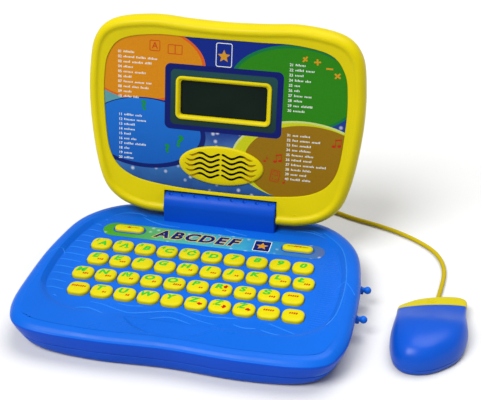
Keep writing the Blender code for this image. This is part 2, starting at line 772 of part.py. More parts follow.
def cord_gland():
    """A tapered collar that fills the hole in the rear wall where the cord leaves the base."""
    x, start, z = CORD_ROUTE[0]
    ends = ((x, start - GAP - GLAND_LENGTH, z), (x, start - GAP, z))
    bm = bmesh.new()
    cylinder(bm, *ends, GLAND_RADIUS, 12, GLAND_TIP_RADIUS)
    add_object("cord_gland", bm, YELLOW, 0.45)


CUTTERS = None
PARTS = None


def main():
    global CUTTERS, PARTS
    clear_scene()
    PARTS = new_collection("toy_laptop")
    CUTTERS = new_collection("cutters")
    keys = key_list()
    base_top_case(keys)
    base_bottom_case()
    battery_door()
    keypad_mat()
    circuit_board()
    add_keys(keys)
    hinge_cover()
    hinge_axle()
    add_lid()
    mouse_top_shell()
    mouse_button()
    mouse_base()
    mouse_circuit_board()
    mouse_cord()
    cord_gland()


main()
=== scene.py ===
import math
import random

import bmesh
import bpy
from mathutils import Matrix, Vector
from mathutils.bvhtree import BVHTree
from mathutils.geometry import delaunay_2d_cdt


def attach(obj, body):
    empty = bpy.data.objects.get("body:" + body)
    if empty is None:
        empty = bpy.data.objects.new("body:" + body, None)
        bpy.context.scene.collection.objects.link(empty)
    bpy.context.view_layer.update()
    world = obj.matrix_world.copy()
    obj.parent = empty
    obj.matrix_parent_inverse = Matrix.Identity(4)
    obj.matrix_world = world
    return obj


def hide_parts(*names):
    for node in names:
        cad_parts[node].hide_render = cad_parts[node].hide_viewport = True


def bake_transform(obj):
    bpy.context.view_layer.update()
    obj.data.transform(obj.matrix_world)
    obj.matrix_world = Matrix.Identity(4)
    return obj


# Looks of the toy laptop computer. Sizes are in millimetres in the part's own frame, and MM turns
# them into metres as a piece is made. A lid piece is drawn as (x, depth behind the front rim,
# height up the lid's front), and LID_PLACE turns that into the part's frame.

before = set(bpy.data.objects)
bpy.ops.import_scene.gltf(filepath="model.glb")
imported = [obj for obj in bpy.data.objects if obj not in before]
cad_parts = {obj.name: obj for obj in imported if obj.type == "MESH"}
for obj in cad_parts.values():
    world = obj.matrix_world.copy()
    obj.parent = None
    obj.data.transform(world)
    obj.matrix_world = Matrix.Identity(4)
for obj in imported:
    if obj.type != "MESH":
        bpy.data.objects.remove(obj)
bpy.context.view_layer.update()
SEED = 7
random.seed(SEED)

MM = 0.001

# Base outlines: right halves, from the middle of the front to the middle of the rear.
BASE_HALF = [
    (0, -93.2), (54, -95.2), (102.2, -91), (118.9, -71), (121.9, -30), (119.6, 18), (109.6, 60),
    (80.6, 90.3), (30, 95.4), (0, 95.6),
]
FOOT_HALF = [
    (0, -88.2), (54, -90.2), (95, -84.5), (111, -66), (116.4, -28), (114, 18), (104.5, 57),
    (77, 85.3), (30, 90.1), (0, 90.2),
]
DECK_HALF = [
    (0, -66), (46, -66), (84, -62), (102.5, -45), (107, -16), (105, 20), (95.5, 52.5), (70, 79),
    (27, 85), (0, 85.5),
]
RIM_HEIGHTS = [25.2, 25.2, 26.2, 27.3, 27.6, 27.6, 27.2, 24.8, 24.2, 24.2]
BASE_STEPS = 8
DECK_Z = 24.0
WALL = 2.4

KEY_PITCH = 17.5
KEY_ROWS = [(19.5, -2.8), (-0.9, 1.2), (-21.5, -3.1), (-42.0, 0.7)]
KEY_SIZE = (15.9, 14.6)
KEY_CORNER = 5.6
WIDE_KEY_SIZE = (24.0, 8.4)
WIDE_KEY_CORNER = 4.1
WIDE_KEY_PLACES = {"wide_key_left": (-67.4, 45.6), "wide_key_right": (67.4, 45.6)}
KEY_BOTTOM_Z = 19.2
KEY_TOP_Z = 26.9
KEY_GAP = 0.35
# The heights between which the top case is cut open for a key.
KEY_WELL = (18, 32)

HINGE_Y = 76.0
HINGE_Z = 37.2
HUMP_RADIUS = 10.6
HUMP_HALF_LENGTH = 45.0

LID_TILT = math.radians(9.5)
LID_AXIS = (8.67, 14.83)
LID_HALF = [
    (0, 5.4), (46, 5.4), (66, 7), (84, 13.7), (96.4, 27), (103.6, 52), (108, 88), (107.9, 119),
    (103.4, 144.6), (89, 158.8), (58, 164.2), (28, 162.8), (0, 162),
]
PANEL_HALF = [
    (0, 28.6), (30, 29), (58, 31.6), (74, 36), (85.4, 44.5), (92, 60), (95, 92), (94.8, 115),
    (91.6, 132), (80.5, 144.8), (55, 150), (26, 150), (0, 150),
]
LID_STEPS = 6
PANEL_DEPTH = 2.9
NOTCH_HALF_WIDTH = 45.6
NOTCH_TOP = 26.2
# The wall of both lid halves beside and above the hinge's notch.
NOTCH_WALL = 2.2
# The depths between which the lid's front is cut open.
LID_OPENING = (-2, 8)
WINDOW_SIZE = (68.2, 27.6)
WINDOW_RIM = (75.0, 34.0)
WINDOW_HEIGHT = 102.6
GRILLE_SIZE = (65.6, 30.6)
GRILLE_HEIGHT = 50.6

MOUSE_CONTROL = [
    (164.4, -58.6), (171, -57.6), (178, -54.6), (184.2, -49.8), (190.4, -43.6), (195.2, -36.6),
    (198.6, -27.5), (200.1, -17), (199.4, -6), (198, 4), (197.6, 14), (198, 22.5), (196.6, 27.6),
    (192, 29.2), (184, 27.8), (175.2, 24.9), (162.4, 19.6), (154.6, 13.9), (149.6, 9.2), (148.3, 5),
    (148.2, -2), (147.2, -14), (146.5, -26), (147.2, -37), (149.2, -46.5), (152.4, -53), (157.6, -57.4),
]
MOUSE_CENTRE = (173.4, -18.0)
MOUSE_STEPS = 4
MOUSE_BASE_Z = 4.6
MOUSE_TOP_RINGS = [
    (4.9, 1.0), (8.0, 1.0), (11.5, 0.98), (15.5, 0.93), (19.3, 0.83), (21.8, 0.68), (23.2, 0.5),
    (23.8, 0.28), (23.9, 0.1),
]
# The dome's height along its rear: the edge's distance and height, then the slope and its growth.
MOUSE_REAR = (24.0, 12.2, 0.08, 0.0042)
MOUSE_REAR_ARCH = (177.0, 0.004)
MOUSE_REAR_BLEND = 2.0
BUTTON_LINE = (173.5, 8.8)
BUTTON_ANGLE = math.radians(17.7)
BUTTON_LIFT = 1.4

# The cord's route in metres, as the part has it.
CORD_ROUTE = [
    (0.0600, 0.0996, 0.01400), (0.0603, 0.1050, 0.01330), (0.0612, 0.1140, 0.01060),
    (0.0636, 0.1260, 0.00680), (0.0678, 0.1376, 0.00340), (0.0734, 0.1458, 0.00200),
    (0.0800, 0.1484, 0.00175), (0.0870, 0.1462, 0.00175), (0.0956, 0.1422, 0.00175),
    (0.1053, 0.1386, 0.00175), (0.1159, 0.1352, 0.00175), (0.1265, 0.1312, 0.00175),
    (0.1370, 0.1264, 0.00175), (0.1476, 0.1204, 0.00175), (0.1570, 0.1138, 0.00175),
    (0.1653, 0.1064, 0.00175), (0.1718, 0.0978, 0.00175), (0.1766, 0.0864, 0.00175),
    (0.1789, 0.0730, 0.00175), (0.1786, 0.0590, 0.00175), (0.1773, 0.0446, 0.00175),
    (0.1765, 0.0366, 0.00190), (0.1761, 0.0296, 0.00240), (0.1759, 0.0234, 0.00260),
]
CORD_RADIUS = 1.65

DOWN = Vector((0, 0, -1))
INTO_LID = Vector((0, 1, 0))
# Rays towards the deck start at this height, and rays into the lid at this depth.
OVER_DECK = 60.0
BEFORE_LID = -40.0

# Turns that take +Z to +X, to -Y and to +Y.
TO_RIGHT = Matrix.Rotation(math.radians(90), 4, "Y")
TO_FRONT = Matrix.Rotation(math.radians(90), 4, "X")
TO_REAR = Matrix.Rotation(math.radians(-90), 4, "X")

LID_PLACE = (
    Matrix.Translation((0, HINGE_Y, HINGE_Z))
    @ Matrix.Rotation(-LID_TILT, 4, "X")
    @ Matrix.Translation((0, -LID_AXIS[0], -LID_AXIS[1]))
)


# Outlines and solids.

def mirrored(half):
    """A closed outline from its right half, whose two ends are on the plane of symmetry."""
    return half + [(-x, y) for x, y in reversed(half[1:-1])]


def catmull_rom(before, start, end, after, t):
    return 0.5 * (
        2 * start
        + (end - before) * t
        + (2 * before - 5 * start + 4 * end - after) * t**2
        + (3 * start - before - 3 * end + after) * t**3
    )


def smooth_closed(points, steps):
    """A closed Catmull-Rom curve through the points, with this many steps between each two."""
    points = [Vector(point) for point in points]
    count = len(points)
    curve = []
    for i in range(count):
        four = [points[(i + k) % count] for k in (-1, 0, 1, 2)]
        curve += [catmull_rom(*four, step / steps) for step in range(steps)]
    return curve


def smooth_open(points, steps):
    """An open Catmull-Rom curve through the points."""
    points = [Vector(point) for point in points]
    last = len(points) - 1
    curve = []
    for i in range(last):
        four = (points[max(i - 1, 0)], points[i], points[i + 1], points[min(i + 2, last)])
        curve += [catmull_rom(*four, step / steps) for step in range(steps)]
    return curve + [points[-1]]


def inset(outline, distance):
    """The outline moved inwards by a distance, for an outline that runs anticlockwise."""
    moved = []
    for i, point in enumerate(outline):
        along = (outline[(i + 1) % len(outline)] - outline[i - 1]).normalized()
        moved.append(point + Vector((-along.y, along.x)) * distance)
    return moved


def level(outline, z):
    """The outline at a height."""
    return [Vector((point.x, point.y, z)) for point in outline]


def lid_ring(outline, depth):
    """The outline on the lid, at a depth."""
    return [Vector((point.x, depth, point.y)) for point in outline]


def insets(outline, section, ring=level):
    """Rings from an outline: section has (inset, height) pairs, or (inset, depth) pairs with lid_ring."""
    return [ring(inset(outline, distance), place) for distance, place in section]


def rounded_rectangle(width, depth, corner, centre=(0, 0), steps=7):
    """An anticlockwise outline with round corners."""
    outline = []
    for quarter, (sx, sy) in enumerate(((1, -1), (1, 1), (-1, 1), (-1, -1))):
        middle = Vector((sx * (width / 2 - corner), sy * (depth / 2 - corner)))
        for step in range(steps + 1):
            angle = math.pi / 2 * (quarter - 1 + step / steps)
            outline.append(middle + Vector((math.cos(angle), math.sin(angle))) * corner + Vector(centre))
    return outline


def ellipse(centre, radii, steps=72):
    """A round or oval outline."""
    turn = [2 * math.pi * i / steps for i in range(steps)]
    return [Vector((centre[0] + radii[0] * math.cos(a), centre[1] + radii[1] * math.sin(a))) for a in turn]


def smooth_stack(rings, steps):
    """More rings between these, on smooth curves through their matching points."""
    columns = [smooth_open(column, steps) for column in zip(*rings)]
    return [list(ring) for ring in zip(*columns)]


def lofted(rings, closed=False):
    """A solid through rings of points. It is capped at both ends, or joined into a loop if closed."""
    bm = bmesh.new()
    rows = [[bm.verts.new(point) for point in ring] for ring in rings]
    pairs = list(zip(rows, rows[1:]))
    if closed:
        pairs.append((rows[-1], rows[0]))
    for lower, upper in pairs:
        for i in range(len(lower)):
            j = (i + 1) % len(lower)
            bm.faces.new((lower[i], lower[j], upper[j], upper[i]))
    if not closed:
        bm.faces.new(rows[0])
        bm.faces.new(rows[-1])
    bmesh.ops.recalc_face_normals(bm, faces=bm.faces)
    return bm


def prism(outline, low, high, ring=level):
    """An outline made solid between two heights, or between two depths with lid_ring."""
    return lofted([ring(outline, low), ring(outline, high)])


def box(low, high):
    bm = bmesh.new()
    size = Vector(high) - Vector(low)
    middle = (Vector(high) + Vector(low)) / 2
    bmesh.ops.create_cube(bm, size=1, matrix=Matrix.Translation(middle) @ Matrix.Diagonal((*size, 1)))
    return bm


def turned(profile, place=Matrix(), segments=32):
    """A turned solid from (radius, height) pairs that start and end on its axis."""
    rings = []
    for radius, height in profile:
        turn = [2 * math.pi * i / segments for i in range(segments)]
        rings.append([place @ Vector((radius * math.cos(a), radius * math.sin(a), height)) for a in turn])
    return lofted(rings)


def standing(profile, x, y, segments=24):
    """A turned solid whose axis stands upright at a place."""
    return turned(profile, Matrix.Translation((x, y, 0)), segments)


def tube(points, radii, sides=8, flat=1.0, up=Vector((0, 0, 1))):
    """A tube along the points. Its section is squeezed along up by flat."""
    rings = []
    for i, point in enumerate(points):
        along = (points[min(i + 1, len(points) - 1)] - points[max(i - 1, 0)]).normalized()
        side = along.cross(up).normalized()
        over = side.cross(along)
        ring = []
        for k in range(sides):
            angle = 2 * math.pi * k / sides
            ring.append(point + (side * math.cos(angle) + over * math.sin(angle) * flat) * radii[i])
        rings.append(ring)
    return lofted(rings)


def laid_tube(surface, points, radius, sunk, sides):
    """A tube along a surface under the points, with its middle a little below that surface."""
    line = []
    for point in points:
        hit = surface.ray_cast(Vector((point.x, point.y, OVER_DECK)), DOWN)[0]
        line.append(hit - Vector((0, 0, sunk)))
    return tube(line, [radius] * len(line), sides)


def mesh_from(bm, name="shape"):
    """A mesh made from a shape, which is freed."""
    mesh = bpy.data.meshes.new(name)
    bm.to_mesh(mesh)
    bm.free()
    return mesh


def in_scene(name, data):
    """A new object in the scene."""
    obj = bpy.data.objects.new(name, data)
    bpy.context.scene.collection.objects.link(obj)
    return obj


def worked_out(obj):
    """The shape of an object after its modifiers, or of a text."""
    evaluated = obj.evaluated_get(bpy.context.evaluated_depsgraph_get())
    bm = bmesh.new()
    bm.from_mesh(evaluated.to_mesh())
    evaluated.to_mesh_clear()
    return bm


def merge(*shapes):
    """Several shapes in one mesh, which keep their material numbers."""
    bm = bmesh.new()
    for shape in shapes:
        mesh = mesh_from(shape)
        bm.from_mesh(mesh)
        bpy.data.meshes.remove(mesh)
    return bm


def paint(bm, number):
    for face in bm.faces:
        face.material_index = number
    return bm


def boolean(bm, cutter, operation="DIFFERENCE"):
    """The first shape cut by the second, or joined with it."""
    objects = []
    for shape in (bm, cutter):
        bmesh.ops.recalc_face_normals(shape, faces=shape.faces)
        objects.append(in_scene("shape", mesh_from(shape)))
    modifier = objects[0].modifiers.new("cut", "BOOLEAN")
    modifier.operation = operation
    modifier.object = objects[1]
    modifier.use_self = operation == "DIFFERENCE"
    result = worked_out(objects[0])
    for obj in objects:
        bpy.data.meshes.remove(obj.data)
    return result


def add_piece(name, bm, finishes, body, stands_for=(), sharp=32, motion=True):
    """Makes a shape into a piece in metres that rides on a CAD body. The lid's pieces are tilted with it."""
    bm.transform(Matrix.Scale(MM, 4) @ (LID_PLACE if body == "lid" else Matrix()))
    bmesh.ops.recalc_face_normals(bm, faces=bm.faces)
    mesh = mesh_from(bm, name)
    for finish in finishes if isinstance(finishes, (list, tuple)) else [finishes]:
        mesh.materials.append(finish)
    mesh.shade_smooth()
    mesh.set_sharp_from_angle(angle=math.radians(sharp))
    piece = in_scene(name, mesh)
    if motion:
        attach(piece, body)
    if stands_for:
        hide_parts(*stands_for)
    return piece


# Lettering and signs, all flat outlines that become thin solids on a surface.

def glyphs(text, size, weight=0.0, slant=0.0, wide=1.0):
    """Flat faces of a text in the XY plane, centred on the origin, from Blender's own font."""
    curve = bpy.data.curves.new("glyphs", "FONT")
    curve.body = text
    curve.size = size
    curve.offset = weight
    curve.shear = slant
    curve.resolution_u = 3
    curve.align_x = "CENTER"
    curve.align_y = "CENTER"
    obj = in_scene("glyphs", curve)
    bm = worked_out(obj)
    bpy.data.objects.remove(obj)
    bpy.data.curves.remove(curve)
    bmesh.ops.remove_doubles(bm, verts=bm.verts, dist=0.0005)
    bmesh.ops.scale(bm, vec=(wide, 1, 1), verts=bm.verts)
    return bm


def flat_shape(*outlines):
    """Flat faces inside one or more separate outlines."""
    bm = bmesh.new()
    for outline in outlines:
        bm.faces.new([bm.verts.new((p[0], p[1], 0)) for p in outline])
    return bm


def moved(bm, x, y, turn=0.0):
    bm.transform(Matrix.Translation((x, y, 0)) @ Matrix.Rotation(turn, 4, "Z"))
    return bm


def printed(flat, surface, toward, proud=0.05, sunk=0.12, finer=0.0):
    """Flat faces in a plane made into a thin solid that follows a surface. toward points into it."""
    bmesh.ops.triangulate(flat, faces=flat.faces)
    if finer:
        long_edges = [edge for edge in flat.edges if edge.calc_length() > finer]
        bmesh.ops.subdivide_edges(flat, edges=long_edges, cuts=1)
        bmesh.ops.triangulate(flat, faces=flat.faces)
    bm = bmesh.new()
    spots = {}
    for vert in flat.verts:
        x, y = vert.co.xy
        if toward.z:
            origin, missed = Vector((x, y, OVER_DECK)), Vector((x, y, DECK_Z))
        else:
            origin, missed = Vector((x, BEFORE_LID, y)), Vector((x, PANEL_DEPTH, y))
        hit = surface.ray_cast(origin, toward)[0]
        if hit is None:
            hit = missed
        spots[vert] = (bm.verts.new(hit - toward * proud), bm.verts.new(hit + toward * sunk))
    for face in flat.faces:
        bm.faces.new([spots[v][0] for v in face.verts])
        bm.faces.new([spots[v][1] for v in reversed(face.verts)])
    for edge in flat.edges:
        if len(edge.link_faces) == 1:
            a, b = edge.verts
            bm.faces.new((spots[a][0], spots[a][1], spots[b][1], spots[b][0]))
    flat.free()
    bmesh.ops.recalc_face_normals(bm, faces=bm.faces)
    return bm


# Materials.

LIT = 1.5


def rgb(red, green, blue):
    """Linear colour from 0 to 255 display values, as they should look under light of strength LIT."""
    channels = [value / 255 for value in (red, green, blue)]
    linear = [c / 12.92 if c <= 0.04045 else ((c + 0.055) / 1.055) ** 2.4 for c in channels]
    return tuple(c / LIT for c in linear) + (1.0,)


def scaled(colour, factor):
    return tuple(min(c * factor, 1.0) for c in colour[:3]) + (1.0,)


def upright(red, green, blue):
    """A colour for the lid's front, which gets less light than the deck."""
    return scaled(rgb(red, green, blue), 1.12)


class Shader:
    """A material's node tree, with short calls that add and link nodes."""

    def __init__(self, name):
        self.material = bpy.data.materials.new(name)
        self.material.use_nodes = True
        self.tree = self.material.node_tree
        self.principled = self.tree.nodes["Principled BSDF"]
        self.place = self.add("ShaderNodeTexCoord").outputs["Object"]

    def add(self, kind, inputs=(), **settings):
        node = self.tree.nodes.new(kind)
        for key, value in settings.items():
            setattr(node, key, value)
        for key, value in dict(inputs).items():
            if isinstance(value, bpy.types.NodeSocket):
                self.tree.links.new(value, node.inputs[key])
            else:
                node.inputs[key].default_value = value
        return node

    def set(self, **values):
        for key, value in values.items():
            self.principled.inputs[key.replace("_", " ")].default_value = value

    def link(self, output, socket):
        self.tree.links.new(output, self.principled.inputs[socket])

    def noise(self, scale, detail=2.0, stretch=None):
        place = self.place
        if stretch:
            place = self.add("ShaderNodeMapping", {"Vector": place, "Scale": stretch}).outputs["Vector"]
        inputs = {"Vector": place, "Scale": scale, "Detail": detail, "Roughness": 0.55}
        return self.add("ShaderNodeTexNoise", inputs).outputs["Fac"]

    def ranged(self, value, low, high, start=0.3, end=0.7):
        inputs = {"Value": value, "From Min": start, "From Max": end, "To Min": low, "To Max": high}
        return self.add("ShaderNodeMapRange", inputs).outputs["Result"]

    def mixed(self, factor, first, second, blend="MIX"):
        node = self.add("ShaderNodeMix", data_type="RGBA", blend_type=blend)
        for index, value in ((0, factor), (6, first), (7, second)):
            if isinstance(value, bpy.types.NodeSocket):
                self.tree.links.new(value, node.inputs[index])
            else:
                node.inputs[index].default_value = value
        return node.outputs[2]

    def bump(self, height, strength, distance, normal=None):
        inputs = {"Height": height, "Strength": strength, "Distance": distance}
        if normal:
            inputs["Normal"] = normal
        return self.add("ShaderNodeBump", inputs).outputs["Normal"]


def moulded(name, colour, roughness=0.34, coat=0.0, grain=0.06, wear=0.2):
    """Moulded plastic: slow colour drift, paler worn edges, fine grain, scuffs and uneven gloss."""
    shader = Shader(name)
    drift = shader.ranged(shader.noise(14, 3), 0, 1)
    base = shader.mixed(drift, scaled(colour, 0.93), scaled(colour, 1.06))
    edge = shader.add("ShaderNodeNewGeometry").outputs["Pointiness"]
    worn = shader.ranged(edge, 0, wear, 0.52, 0.62)
    shader.link(shader.mixed(worn, base, scaled(colour, 1.45)), "Base Color")
    smudge = shader.ranged(shader.noise(48, 4), roughness - 0.05, roughness + 0.08)
    scuffs = shader.ranged(shader.noise(160, 5, (1, 14, 3)), 0, 0.07, 0.58, 0.72)
    total = shader.add("ShaderNodeMath", {0: smudge, 1: scuffs}, operation="ADD").outputs[0]
    shader.link(total, "Roughness")
    fine = shader.bump(shader.noise(2600, 2), grain, 0.0001)
    shader.link(shader.bump(shader.noise(38, 2), 0.06, 0.0012, fine), "Normal")
    shader.set(Coat_Weight=coat, Coat_Roughness=0.3, Specular_IOR_Level=0.1)
    return shader.material


def finish_ink(shader, roughness):
    """The uneven gloss and the fine dot of printing ink."""
    shader.link(shader.ranged(shader.noise(120, 3), roughness - 0.06, roughness + 0.08), "Roughness")
    shader.link(shader.bump(shader.noise(3000, 1), 0.03, 0.00005), "Normal")
    shader.set(Specular_IOR_Level=0.12)
    return shader.material


def inked(name, colour):
    """Printing ink with slightly uneven cover."""
    shader = Shader(name)
    cover = shader.ranged(shader.noise(900, 2), 0, 1)
    shader.link(shader.mixed(cover, scaled(colour, 0.96), scaled(colour, 1.04)), "Base Color")
    return finish_ink(shader, 0.38)


def gradient_ink(name, stops, start, end, sparkle=0.0):
    """Ink that runs through colours from one point of the part, in metres, to another."""
    shader = Shader(name)
    along = Vector(end) - Vector(start)
    shifted = shader.add("ShaderNodeVectorMath", {0: shader.place, 1: start}, operation="SUBTRACT")
    inputs = {0: shifted.outputs[0], 1: tuple(along / along.length_squared)}
    share = shader.add("ShaderNodeVectorMath", inputs, operation="DOT_PRODUCT").outputs["Value"]
    cloud = shader.ranged(shader.noise(55, 3), -0.06, 0.06)
    share = shader.add("ShaderNodeMath", {0: share, 1: cloud}, operation="ADD").outputs[0]
    ramp = shader.add("ShaderNodeValToRGB", {"Fac": share})
    elements = ramp.color_ramp.elements
    while len(elements) < len(stops):
        elements.new(0.5)
    for element, (position, colour) in zip(elements, stops):
        element.position = position
        element.color = colour
    base = ramp.outputs["Color"]
    if sparkle:
        cells = shader.add("ShaderNodeTexVoronoi", {"Vector": shader.place, "Scale": 150.0})
        spots = shader.ranged(cells.outputs["Distance"], sparkle, 0, 0.05, 0.3)
        base = shader.mixed(spots, base, (1, 1, 1, 1))
    shader.link(base, "Base Color")
    return finish_ink(shader, 0.36)


def screen_glass(name):
    """A dark green passive screen behind a clear pane: faint dot rows and a soft reflection."""
    shader = Shader(name)
    dots = shader.add("ShaderNodeTexVoronoi", {"Vector": shader.place, "Scale": 1600.0}).outputs["Distance"]
    patch = shader.ranged(shader.noise(22, 2), 0, 1)
    base = shader.mixed(patch, rgb(5, 22, 15), rgb(12, 33, 24))
    shader.link(shader.mixed(shader.ranged(dots, 0.25, 0, 0.0, 0.5), base, rgb(17, 41, 30)), "Base Color")
    shader.link(shader.ranged(shader.noise(60, 3), 0.16, 0.24), "Roughness")
    shader.set(Specular_IOR_Level=0.1)
    return shader.material


def metal(name, colour, roughness=0.28):
    shader = Shader(name)
    streak = shader.ranged(shader.noise(900, 3, (1, 12, 12)), 0, 1)
    shader.link(shader.mixed(streak, scaled(colour, 0.85), scaled(colour, 1.1)), "Base Color")
    shader.link(shader.ranged(streak, roughness - 0.06, roughness + 0.1, 0, 1), "Roughness")
    shader.set(Metallic=1.0)
    return shader.material


def board_green(name):
    """Solder mask over tracks: a slightly raised pattern under a green lacquer."""
    shader = Shader(name)
    tracks = shader.add(
        "ShaderNodeTexBrick", {"Vector": shader.place, "Scale": 90.0, "Mortar Size": 0.06}
    ).outputs["Fac"]
    shader.link(shader.mixed(tracks, rgb(10, 78, 38), rgb(24, 112, 56)), "Base Color")
    shader.link(shader.bump(tracks, 0.2, 0.0001), "Normal")
    shader.set(Roughness=0.35)
    return shader.material


BLUE = rgb(14, 107, 227)
YELLOW = upright(230, 211, 5)
base_blue = moulded("base_blue_abs", BLUE, 0.3)
ridge_blue = moulded("ridge_polished_blue", rgb(44, 134, 240), 0.22)
side_blue = moulded("side_blue_abs", rgb(4, 84, 222))
under_blue = moulded("under_blue_abs", rgb(4, 88, 222), 0.42, grain=0.16)
hinge_blue = moulded("hinge_blue_abs", rgb(8, 86, 218))
key_yellow = moulded("key_yellow_abs", rgb(230, 218, 12), 0.36, grain=0.1, wear=0.12)
lid_yellow = moulded("lid_yellow_abs", YELLOW, 0.36, grain=0.08, wear=0.15)
mouse_blue = moulded("mouse_blue_abs", rgb(8, 88, 212), coat=0.18)
mouse_yellow = moulded("mouse_yellow_abs", rgb(224, 208, 26), 0.36)
cord_vinyl = moulded("cord_yellow_vinyl", rgb(206, 182, 4), 0.42, grain=0.12, wear=0.0)
pad_rubber = moulded("pad_grey_rubber", rgb(70, 72, 76), 0.75, grain=0.4, wear=0.1)
groove_brown = moulded("groove_shaded_yellow", rgb(186, 140, 8), 0.5, grain=0.1, wear=0.0)
slot_dark = moulded("speaker_cloth_black", rgb(12, 12, 12), 0.8, grain=0.6, wear=0.0)
screw_steel = metal("screw_steel", rgb(176, 176, 180))
axle_steel = metal("axle_steel", rgb(190, 190, 194), 0.22)
lcd_glass = screen_glass("lcd_dark_green")
board = board_green("circuit_solder_mask")

green_ink = inked("legend_green_ink", rgb(52, 204, 60))
red_ink = inked("legend_red_ink", rgb(206, 18, 8))
navy_ink = inked("panel_navy_ink", rgb(8, 32, 116))
deep_ink = inked("panel_deep_blue_ink", rgb(10, 42, 142))
frame_blue_ink = inked("panel_frame_blue_ink", rgb(6, 26, 112))
gold_ink = inked("strip_gold_ink", rgb(240, 205, 40))
amber_ink = inked("panel_amber_ink", rgb(224, 158, 30))
PANEL_COLOURS = {
    "white": (240, 244, 238), "orange": (218, 138, 14), "rust": (220, 96, 22), "teal": (14, 118, 62),
    "green": (42, 132, 16), "ochre": (152, 112, 8), "lime": (204, 208, 20), "cream": (206, 218, 130),
    "pale_teal": (92, 156, 165), "leaf": (20, 144, 50), "red": (196, 36, 14), "brick": (200, 60, 24),
}
panel_ink = {name: inked("panel_%s_ink" % name, upright(*colour)) for name, colour in PANEL_COLOURS.items()}

SKY_STOPS = [(0, upright(18, 96, 190)), (1, upright(24, 116, 214))]
sky_ink = gradient_ink("panel_sky_ink", SKY_STOPS, (0, 0, 0.07), (0, 0, 0.13))
FRAME_STOPS = [(0, rgb(28, 56, 50)), (1, rgb(34, 82, 84))]
frame_ink = gradient_ink("panel_frame_ink", FRAME_STOPS, (0, 0, 0.098), (0, 0, 0.15))
VIOLET_STOPS = [
    (0, rgb(30, 56, 128)), (0.35, rgb(52, 112, 184)), (0.7, rgb(84, 132, 196)), (1, rgb(30, 64, 150)),
]
violet_ink = gradient_ink("panel_violet_ink", VIOLET_STOPS, (0, 0, 0.045), (0, 0, 0.1), 0.5)
STRIP_STOPS = [
    (0.0, rgb(74, 166, 30)), (0.14, rgb(74, 166, 55)), (0.26, rgb(92, 182, 128)), (0.4, rgb(80, 184, 182)),
    (0.55, rgb(69, 178, 207)), (0.75, rgb(41, 146, 214)), (0.88, rgb(56, 120, 186)), (1.0, rgb(84, 112, 170)),
]
strip_ink = gradient_ink("strip_gradient_ink", STRIP_STOPS, (-0.0885, 0, 0), (0.0885, 0, 0), 0.3)


# Camera, light and floor. Angles are in degrees.

CAMERA_PLACE = (0.1766, -0.6444, 0.4620)
CAMERA_DOWN = 29.47
CAMERA_TURN = 12.6
CAMERA_LENS = 80.2
SENSOR_WIDTH = 36.0
WORLD_STRENGTH = 0.36
# Each light's direction, strength and spread.
LIGHTS = {"key_light": ((-0.45, -0.75, 1.15), 3.0, 28), "top_light": ((0.25, 0.35, 1.4), 2.0, 40)}
FLOOR_GREYS = (0.59, 0.62)
FLOOR_HALF_SIZE = 6
FLOOR_GAP = 0.0004


def add_camera():
    data = bpy.data.cameras.new("camera")
    data.sensor_width = SENSOR_WIDTH
    data.lens = CAMERA_LENS
    camera = in_scene("camera", data)
    camera.location = CAMERA_PLACE
    camera.rotation_euler = (math.radians(90 - CAMERA_DOWN), 0, math.radians(CAMERA_TURN))
    bpy.context.scene.camera = camera


def add_sun(name, toward, strength, spread):
    """A soft light from far away, so that it is even over the whole floor."""
    data = bpy.data.lights.new(name, "SUN")
    data.energy = strength
    data.angle = math.radians(spread)
    light = in_scene(name, data)
    light.location = toward
    light.rotation_euler = Vector(toward).to_track_quat("Z", "Y").to_euler()


def add_studio():
    world = bpy.data.worlds.new("studio")
    world.use_nodes = True
    background = world.node_tree.nodes["Background"]
    background.inputs["Color"].default_value = (1.0, 1.0, 1.0, 1)
    background.inputs["Strength"].default_value = WORLD_STRENGTH
    bpy.context.scene.world = world
    for name, light in LIGHTS.items():
        add_sun(name, *light)
    bpy.context.scene.view_settings.view_transform = "Standard"
    shader = Shader("floor_paper")
    tone = shader.ranged(shader.noise(6, 2), 0, 1)
    dark, pale = [(grey, grey, grey, 1) for grey in FLOOR_GREYS]
    shader.link(shader.mixed(tone, dark, pale), "Base Color")
    shader.set(Roughness=0.8)
    bm = bmesh.new()
    bmesh.ops.create_grid(bm, x_segments=4, y_segments=4, size=FLOOR_HALF_SIZE)
    bm.transform(Matrix.Translation((0, 0, -FLOOR_GAP)))
    floor = in_scene("floor", mesh_from(bm, "floor"))
    floor.data.materials.append(shader.material)


# Cord.

COLLAR_PROFILE = [
    (0, 0), (2.3, 0), (2.6, -0.4), (2.7, -1.6), (2.3, -1.9), (2.3, -2.4), (2.9, -2.7), (3.0, -4.0),
    (2.6, -4.3), (2.6, -4.8), (3.2, -5.1), (3.35, -7.0), (0, -7.0),
]


def add_cord():
    """The mouse cord as a tube that bends between the base and the mouse, and its collar."""
    line = smooth_open(CORD_ROUTE, 6)
    bm = tube([point / MM for point in line], [CORD_RADIUS] * len(line), 16)
    cord = add_piece("mouse_cord_lead", bm, cord_vinyl, "base", ["mouse_cord"], motion=False)
    x, y, z = (value / MM for value in CORD_ROUTE[0])
    collar = turned(COLLAR_PROFILE, Matrix.Translation((x, y - 0.3, z)) @ TO_REAR, 24)
    gland = add_piece("cord_collar", collar, cord_vinyl, "base", ["cord_gland"])
    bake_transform(cord)


# Base.

def base_outline():
    return smooth_closed(mirrored(BASE_HALF), BASE_STEPS)


def side_ring(z, share, grow=0.0):
    """The case's outline at a height: share runs from 0 at the foot to 1 at the rim."""
    foot = smooth_closed(mirrored(FOOT_HALF), BASE_STEPS)
    ring = [low.lerp(high, share) for low, high in zip(foot, base_outline())]
    return level(inset(ring, -grow), z)


def rim_heights():
    heights = RIM_HEIGHTS + RIM_HEIGHTS[-2:0:-1]
    return [point.x for point in smooth_closed([(height, 0) for height in heights], BASE_STEPS)]


